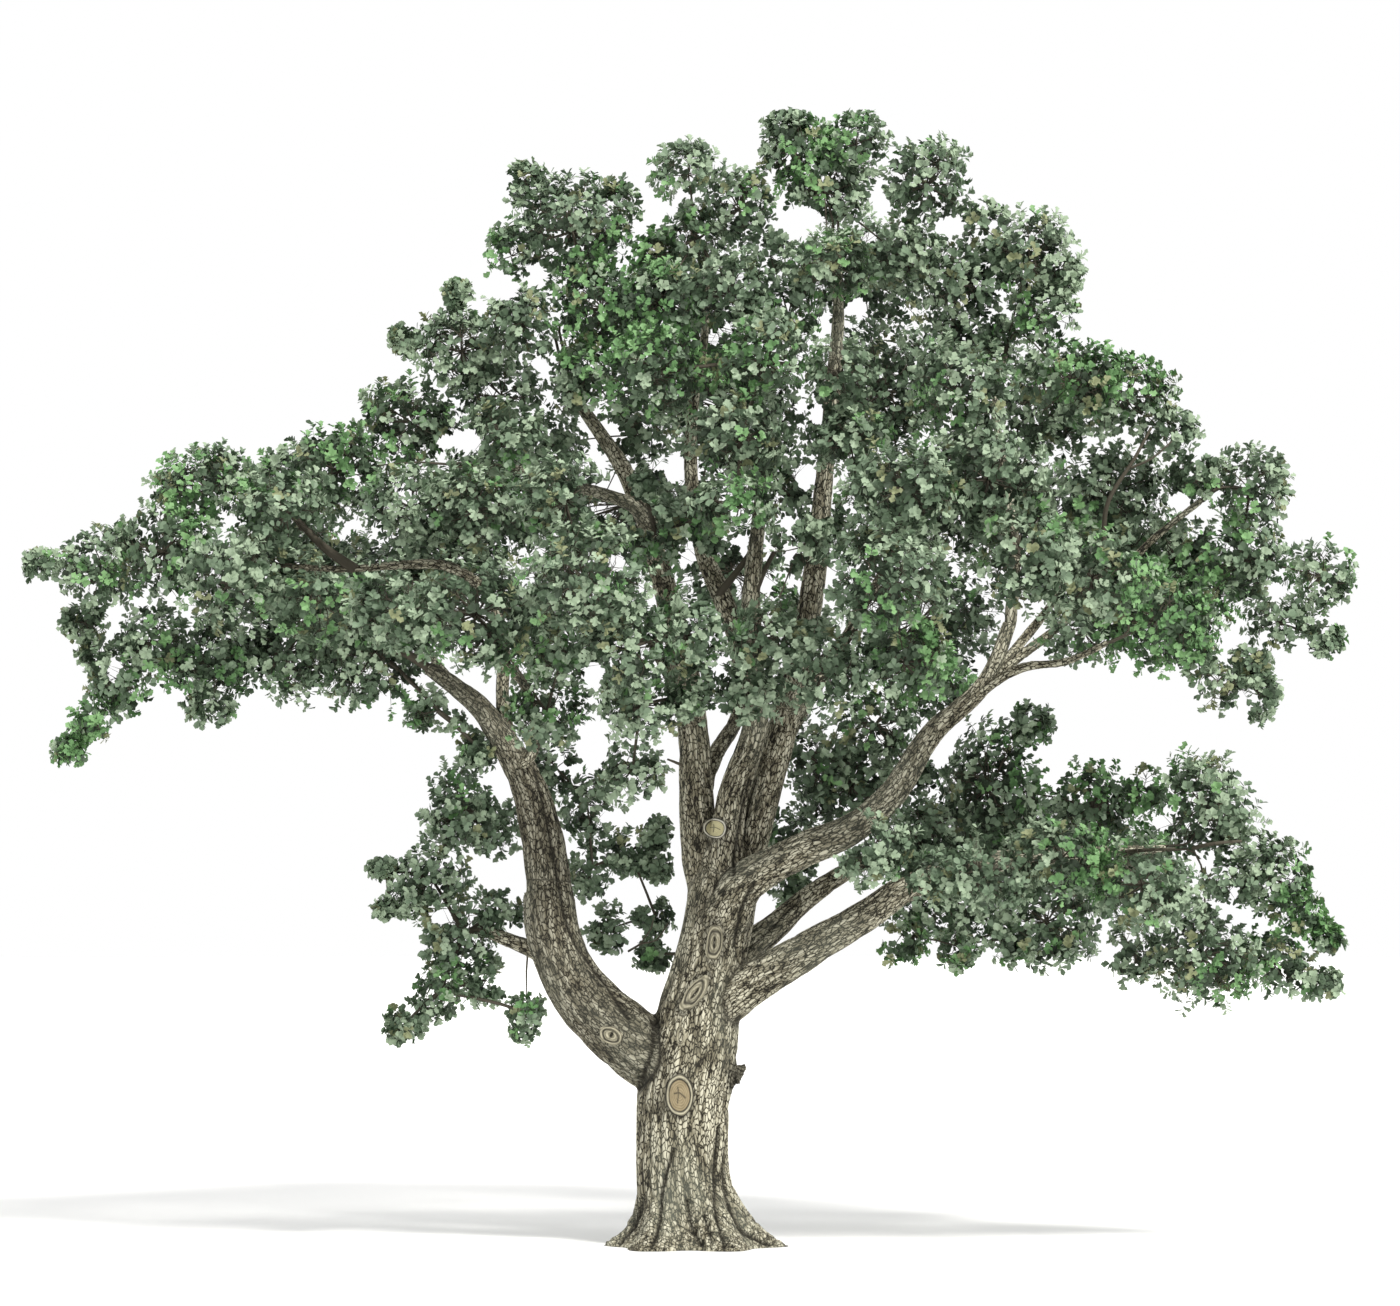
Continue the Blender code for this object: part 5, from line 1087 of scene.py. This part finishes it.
def add_chain(wood, places, radii):
    """A run of tapering segments, each a row of its start, its end and both radii."""
    for a, b, thick, thin in zip(places, places[1:], radii, radii[1:]):
        a, b = np.atleast_2d(a), np.atleast_2d(b)
        wood.append(np.concatenate([a, b, *(np.broadcast_to(r, len(a))[:, None] for r in (thick, thin))], 1))


def bezier(a, b, c, t):
    return a * (1 - t) ** 2 + b * 2 * t * (1 - t) + c * t * t


def grow_frame(name, slot, wood):
    """The source's stem and the branches that lead from it to each lobe, with a slight bow."""
    start, forward, radius = slot
    hubs = [Vector(lobe[:3]) for lobe in MASSES[name].lobes]
    hub = hubs[0]
    bend = start + forward * min(0.35, 0.3 * (hub - start).length)
    control = bend + forward * 0.25 * (hub - bend).length
    route = [start, bend] + [bezier(bend, control, hub, t) for t in (0.2, 0.4, 0.6, 0.8, 1.0)]
    add_chain(wood, route, radius * np.linspace(1.0, 0.5, len(route)))
    joined = [hub]
    for other in hubs[1:]:
        near = min(joined, key=lambda h: (h - other).length)
        middle = (near + other) / 2 + Vector((0, 0, 0.05)) * (other - near).length
        route = [bezier(near, middle, other, t) for t in (0, 0.33, 0.67, 1.0)]
        add_chain(wood, route, radius * np.array((0.6, 0.52, 0.44, 0.35)))
        joined.append(other)


def golden_directions(count, axis, turn):
    """Directions spread evenly over a ball by the golden angle, the first one along the axis."""
    lift = axis.to_track_quat("Z", "Y")
    made = []
    for i in range(count):
        height = 1.0 - 2 * i / count
        ring = math.sqrt(1.0 - height * height)
        angle = i * GOLDEN_ANGLE + turn
        made.append(lift @ Vector((math.cos(angle) * ring, math.sin(angle) * ring, height)))
    return np.array(made)


def source_sprays(rng, half_width, half_height, outward):
    """Directions and leans of the sprays that the source gives a lobe, by the same draws."""
    count = round(LEAVES_PER_AREA * math.pi * half_width * half_height)
    count = min(LEAF_MOST, max(LEAF_LEAST, count))
    outs = golden_directions(count, outward, rng.uniform(0, 2 * math.pi))
    aims = []
    for i, out in enumerate(outs):
        out = Vector(out)
        lean = Vector([rng.gauss(0, 1) for _ in range(3)])
        lean = (lean - out * lean.dot(out)).normalized()
        for _ in range(3):
            rng.gauss(0, 1)
        aims.append(np.array((out + lean * (LEAN if i else 0.0)).normalized()))
        rng.uniform(*TIP_SHARE)
    return outs, np.array(aims)


def grow_lobe(mass, number, rng, draw, wood):
    """Branchlets out to the edge of the lobe's space and twigs round their outer halves.
    Returns the twigs: root, tip and the branchlet's outward direction."""
    x, y, z, half_width, half_height = MASSES[NAMES[mass]].lobes[number]
    centre, reach = np.array((x, y, z)), lobe_reach(half_width, half_height)
    outward = (Vector(centre) - CROWN_HEART).normalized()
    outs, aims = source_sprays(rng, half_width, half_height, outward)
    count = max(LEAST_BRANCHLETS, round(BRANCHLETS_PER_AREA * math.pi * half_width * half_height))
    fine = golden_directions(count, outward, draw.uniform(0, 2 * math.pi))
    square = draw.normal(size=fine.shape)
    square = unit(square - fine * (square * fine).sum(-1, keepdims=True))
    outs = np.concatenate([outs, fine])
    aims = np.concatenate([aims, unit(fine + square * BRANCHLET_LEAN)])
    size = min(1.0, float(reach.mean()) / FULL_LOBE)
    share = free_shares(mass, centre, aims * reach) * draw.uniform(*BRANCHLET_REACH, len(aims))
    keep = share > 0.3
    outs, aims, share = outs[keep], aims[keep], share[keep]
    if not len(outs):
        return None
    length = np.linalg.norm(aims * reach, axis=1) * share
    tip_share = np.maximum(share * (1 - 0.55 * TWIG_LENGTH * size / length), 0.15)
    roots = centre + outs * reach * 0.03
    bends = centre + outs * reach * (0.5 * share)[:, None]
    tips = centre + aims * reach * tip_share[:, None]
    steps = [bezier(roots, bends, tips, t) for t in (0.0, 0.35, 0.7, 1.0)]
    add_chain(wood, steps, BRANCHLET_RADIUS * size * np.array((1.0, 0.8, 0.55, 0.35)))

    twigs = []
    for k in range(TWIGS_ON_BRANCHLET):
        t = 0.42 + 0.58 * (k / (TWIGS_ON_BRANCHLET - 1)) ** 0.8
        start = bezier(roots, bends, tips, t)
        along = unit(2 * (1 - t) * (bends - roots) + 2 * t * (tips - bends))
        ring = around(along, k * GOLDEN_ANGLE + draw.uniform(0, 0.8, len(along)))
        spread = 0.15 if k == TWIGS_ON_BRANCHLET - 1 else 1.0
        heading = unit(along * 0.55 + ring * spread + np.array((0.0, 0.0, 0.12)))
        reach_out = TWIG_LENGTH * size * draw.uniform(0.7, 1.15, len(along))
        end = start + heading * reach_out[:, None]
        short = ~own_space(mass, end, LEAF_SLACK)
        end[short] = start[short] + heading[short] * 0.55 * reach_out[short, None]
        keep = own_space(mass, end, LEAF_SLACK) & clear_of(end, SMALL_GAPS) & leaves_limbs_bare(end)
        keep &= inside_box(end)
        twigs.append((start[keep], end[keep], along[keep]))
    return [np.concatenate(column) for column in zip(*twigs)]


# A leaf: its outline along its length and out from its midrib, as shares of its length, and the triangles on
# one side of the midrib. Lit leaves have two lobes a side; the shaded ones behind them are plainer.
LOBED = [(0.32, 0.27), (0.46, 0.17), (0.72, 0.38)], [(0, 1, 2), (0, 2, 4), (2, 3, 4)]
PLAIN = [(0.38, 0.27), (0.74, 0.34)], [(0, 1, 2), (0, 2, 3)]
LEAF_FOLD = 0.22            # lift of the sides against their distance from the midrib
LEAF_DROOP = 0.10           # fall of the tip against the length


def grow_leaves(starts, ends, heads, tones, draw):
    """The leaves of every twig: the last ones crowd round its end and face along it."""
    twig = ends - starts
    axis = unit(unit(twig) + 0.35 * heads + np.array((0.0, -0.05, 0.30)))
    made = []
    for k in range(LEAVES_ON_TWIG):
        back = k / (LEAVES_ON_TWIG - 1)
        base = ends - twig * 0.5 * back ** 1.4
        angle = k * GOLDEN_ANGLE + draw.uniform(0, 6.28, len(base)) * 0.15 + draw.uniform(0, 6.28)
        ring = around(axis, angle, (0.43, 0.22, 0.11))
        tilt = np.radians(38 + 45 * back + draw.normal(0, 8, len(base)))[:, None]
        along = axis * np.cos(tilt) + ring * np.sin(tilt)
        face = axis * np.sin(tilt) - ring * np.cos(tilt)
        face = unit(face + 0.25 * draw.normal(size=face.shape))
        face = unit(face - along * (face * along).sum(1, keepdims=True))
        made.append((base, along, face, LEAF_LENGTH * draw.uniform(0.78, 1.18, len(base)), tones))
    return [np.concatenate(column) for column in zip(*made)]


def leaf_mesh(base, along, face, length, leaf):
    """The corners of every leaf (base, one side, the tip and the other side) and their triangles."""
    outline, half = leaf
    side = np.cross(along, face)
    rows = [(0.0, 0.0), *outline, (1.0, 0.0)] + [(u, -v) for u, v in reversed(outline)]
    corners = []
    for u, v in rows:
        lift = LEAF_FOLD * abs(v) - LEAF_DROOP * u * u
        corners.append(base + (along * u + side * v + face * lift) * length[:, None])
    mirrored = [[(len(rows) - i) % len(rows) for i in reversed(triangle)] for triangle in half]
    return repeated(np.stack(corners, 1), np.array(half + mirrored))


def wood_mesh(rows, sides):
    """Tapering prisms; each end is left open inside the next one."""
    a, b, radius_a, radius_b = rows[:, :3], rows[:, 3:6], rows[:, 6:7], rows[:, 7:]
    along = unit(b - a)
    points = [centre + around(along, 2 * math.pi * i / sides) * radius
              for centre, radius in ((a - along * radius_a * 0.3, radius_a), (b, radius_b))
              for i in range(sides)]
    return repeated(np.stack(points, 1), ring_faces(2, sides))


def twig_mesh(starts, ends):
    """Three-sided spikes."""
    along = unit(ends - starts)
    ring = [starts + around(along, turn) * TWIG_RADIUS for turn in (0.0, 2.1, 4.2)]
    return repeated(np.stack(ring + [ends], 1), np.array([(0, 1, 3), (1, 2, 3), (2, 0, 3)]))


# Leaf tones, linear base colours, from the inside of the crown out to the outer sprays: darker inside and paler
# outside, partly painted shade and light, partly the real difference between shade and sun leaves.
TONES = [
    ("shade", (0.040, 0.060, 0.036), PLAIN),
    ("deep", (0.078, 0.120, 0.070), PLAIN),
    ("grey_green", (0.165, 0.232, 0.150), PLAIN),
    ("pale_green", (0.292, 0.374, 0.256), LOBED),
    ("fresh_green", (0.108, 0.220, 0.084), LOBED),
    ("bright_green", (0.178, 0.325, 0.136), LOBED),
    ("olive", (0.235, 0.260, 0.140), LOBED),
]
TONE_DEPTHS = (0.52, 0.70, 0.88)    # of the first four, as shares of the lobe's reach
# Patches of fresher green: sideways place, height and radius.
FRESH_PATCHES = [
    (-6.1, 14.2, 1.0), (-8.7, 13.5, 1.2), (3.7, 10.4, 1.0), (8.4, 10.6, 1.2), (9.5, 12.0, 1.0),
    (7.2, 8.1, 1.1), (10.9, 6.0, 0.9), (3.5, 5.1, 0.7), (-10.5, 9.2, 0.8), (-1.6, 16.2, 1.3),
    (2.4, 19.0, 1.0), (7.4, 15.4, 1.0), (0.9, 15.7, 0.9),
]


def spray_tones(points, depth, draw):
    """A tone for every spray: darker deep in its lobe, partly painted shade and partly the darker green of
    inner leaves, fresher in patches, and varied by chance.
    """
    x, z = view_plane(points)
    fresh = 0.9 * np.array([noise.noise(Vector(p)) for p in (points * 0.55).tolist()])
    for px, pz, radius in FRESH_PATCHES:
        fresh += 0.8 * hill(np.hypot(x - px, z - pz) / radius)
    # darker deeper in the lobe: painted shade, and the darker green of inner leaves
    tone = np.digitize(depth + 0.16 * draw.normal(size=len(points)), TONE_DEPTHS)
    chance = draw.uniform(size=len(points))
    is_fresh = fresh + 0.25 * draw.normal(size=len(points)) > 0.45
    tone = np.where(is_fresh & (tone >= 2), tone + 2, tone)
    return np.where((chance < 0.06) & (tone >= 2), 6, tone)


MOST_TRIANGLES = 190_000


def grow_crown():
    """All the foliage: wood, twigs and leaves, each kind apart."""
    slots = stem_slots()
    wood, twigs, leaves = [], [], []
    for mass, name in enumerate(NAMES):
        rng = random.Random(SEED * 1000 + mass)
        draw = np.random.default_rng(SEED * 1000 + mass)
        grow_frame(name, slots[name], wood)
        for number, lobe in enumerate(MASSES[name].lobes):
            grown = grow_lobe(mass, number, rng, draw, wood)
            if grown is None:
                continue
            starts, ends, heads = grown
            depth = np.linalg.norm((ends - np.array(lobe[:3])) / lobe_reach(*lobe[3:]), axis=1)
            tones = spray_tones(ends, depth, draw)
            twigs.append((starts, ends))
            leaves.append(grow_leaves(starts, ends, heads, tones, draw))
    base, along, face, length, tones = (np.concatenate(column) for column in zip(*leaves))
    reach = along * length[:, None]
    middle = base + 0.55 * reach
    keep = inside_box(np.minimum(base, base + reach) - 0.06) & inside_box(np.maximum(base, base + reach) + 0.06)
    keep &= clear_of(middle, SMALL_GAPS) & clear_of(middle, CLEAR_VIEWS)
    keep &= leaves_limbs_bare(middle, 0.02) & leaves_limbs_bare(base + 0.9 * reach)

    for index, (tone, colour, leaf) in enumerate(TONES):
        chosen = np.nonzero(keep & (tones == index))[0]
        material = plain_material("leaf_" + tone, colour, 0.55)
        parts = 1 + 2 * len(chosen) * len(leaf[1]) // MOST_TRIANGLES
        for part, rows in enumerate(np.array_split(chosen, parts)):
            label = f"leaves_{tone}" + (f"_{part + 1}" if parts > 1 else "")
            made = leaf_mesh(base[rows], along[rows], face[rows], length[rows], leaf)
            show(label, array_mesh(label, *made), material, NAMES, smooth=False)

    bare = []
    for root, tip, _, route in BARE_BRANCHES:
        route = np.array(smooth_route(route, 0.15))
        add_chain(bare, route, np.linspace(root, tip, len(route)))
    bark = plain_material("twig_bark", (0.075, 0.066, 0.048), 0.85)
    for name, made in (("branchlets", wood_mesh(np.concatenate(wood), 3)),
                       ("twigs", twig_mesh(*(np.concatenate(column) for column in zip(*twigs)))),
                       ("bare_branches", wood_mesh(np.concatenate(bare), 7))):
        show(name, array_mesh(name, *made), bark, NAMES, smooth=name != "twigs")


noise.seed_set(SEED)        # for the warp of the bark's ridges
make_stage()
bark = bark_material()
great = [name for name, limb in LIMBS.items() if limb.root_radius >= GREAT_LIMB or name == "left_limb_high"]
mark_trunk(bark_skin("trunk_and_great_limbs", ["trunk"] + great, GREAT_VOXEL, bark), bark)
bark_skin("boughs", [name for name in LIMBS if name not in great], BOUGH_VOXEL, bark)
grow_crown()
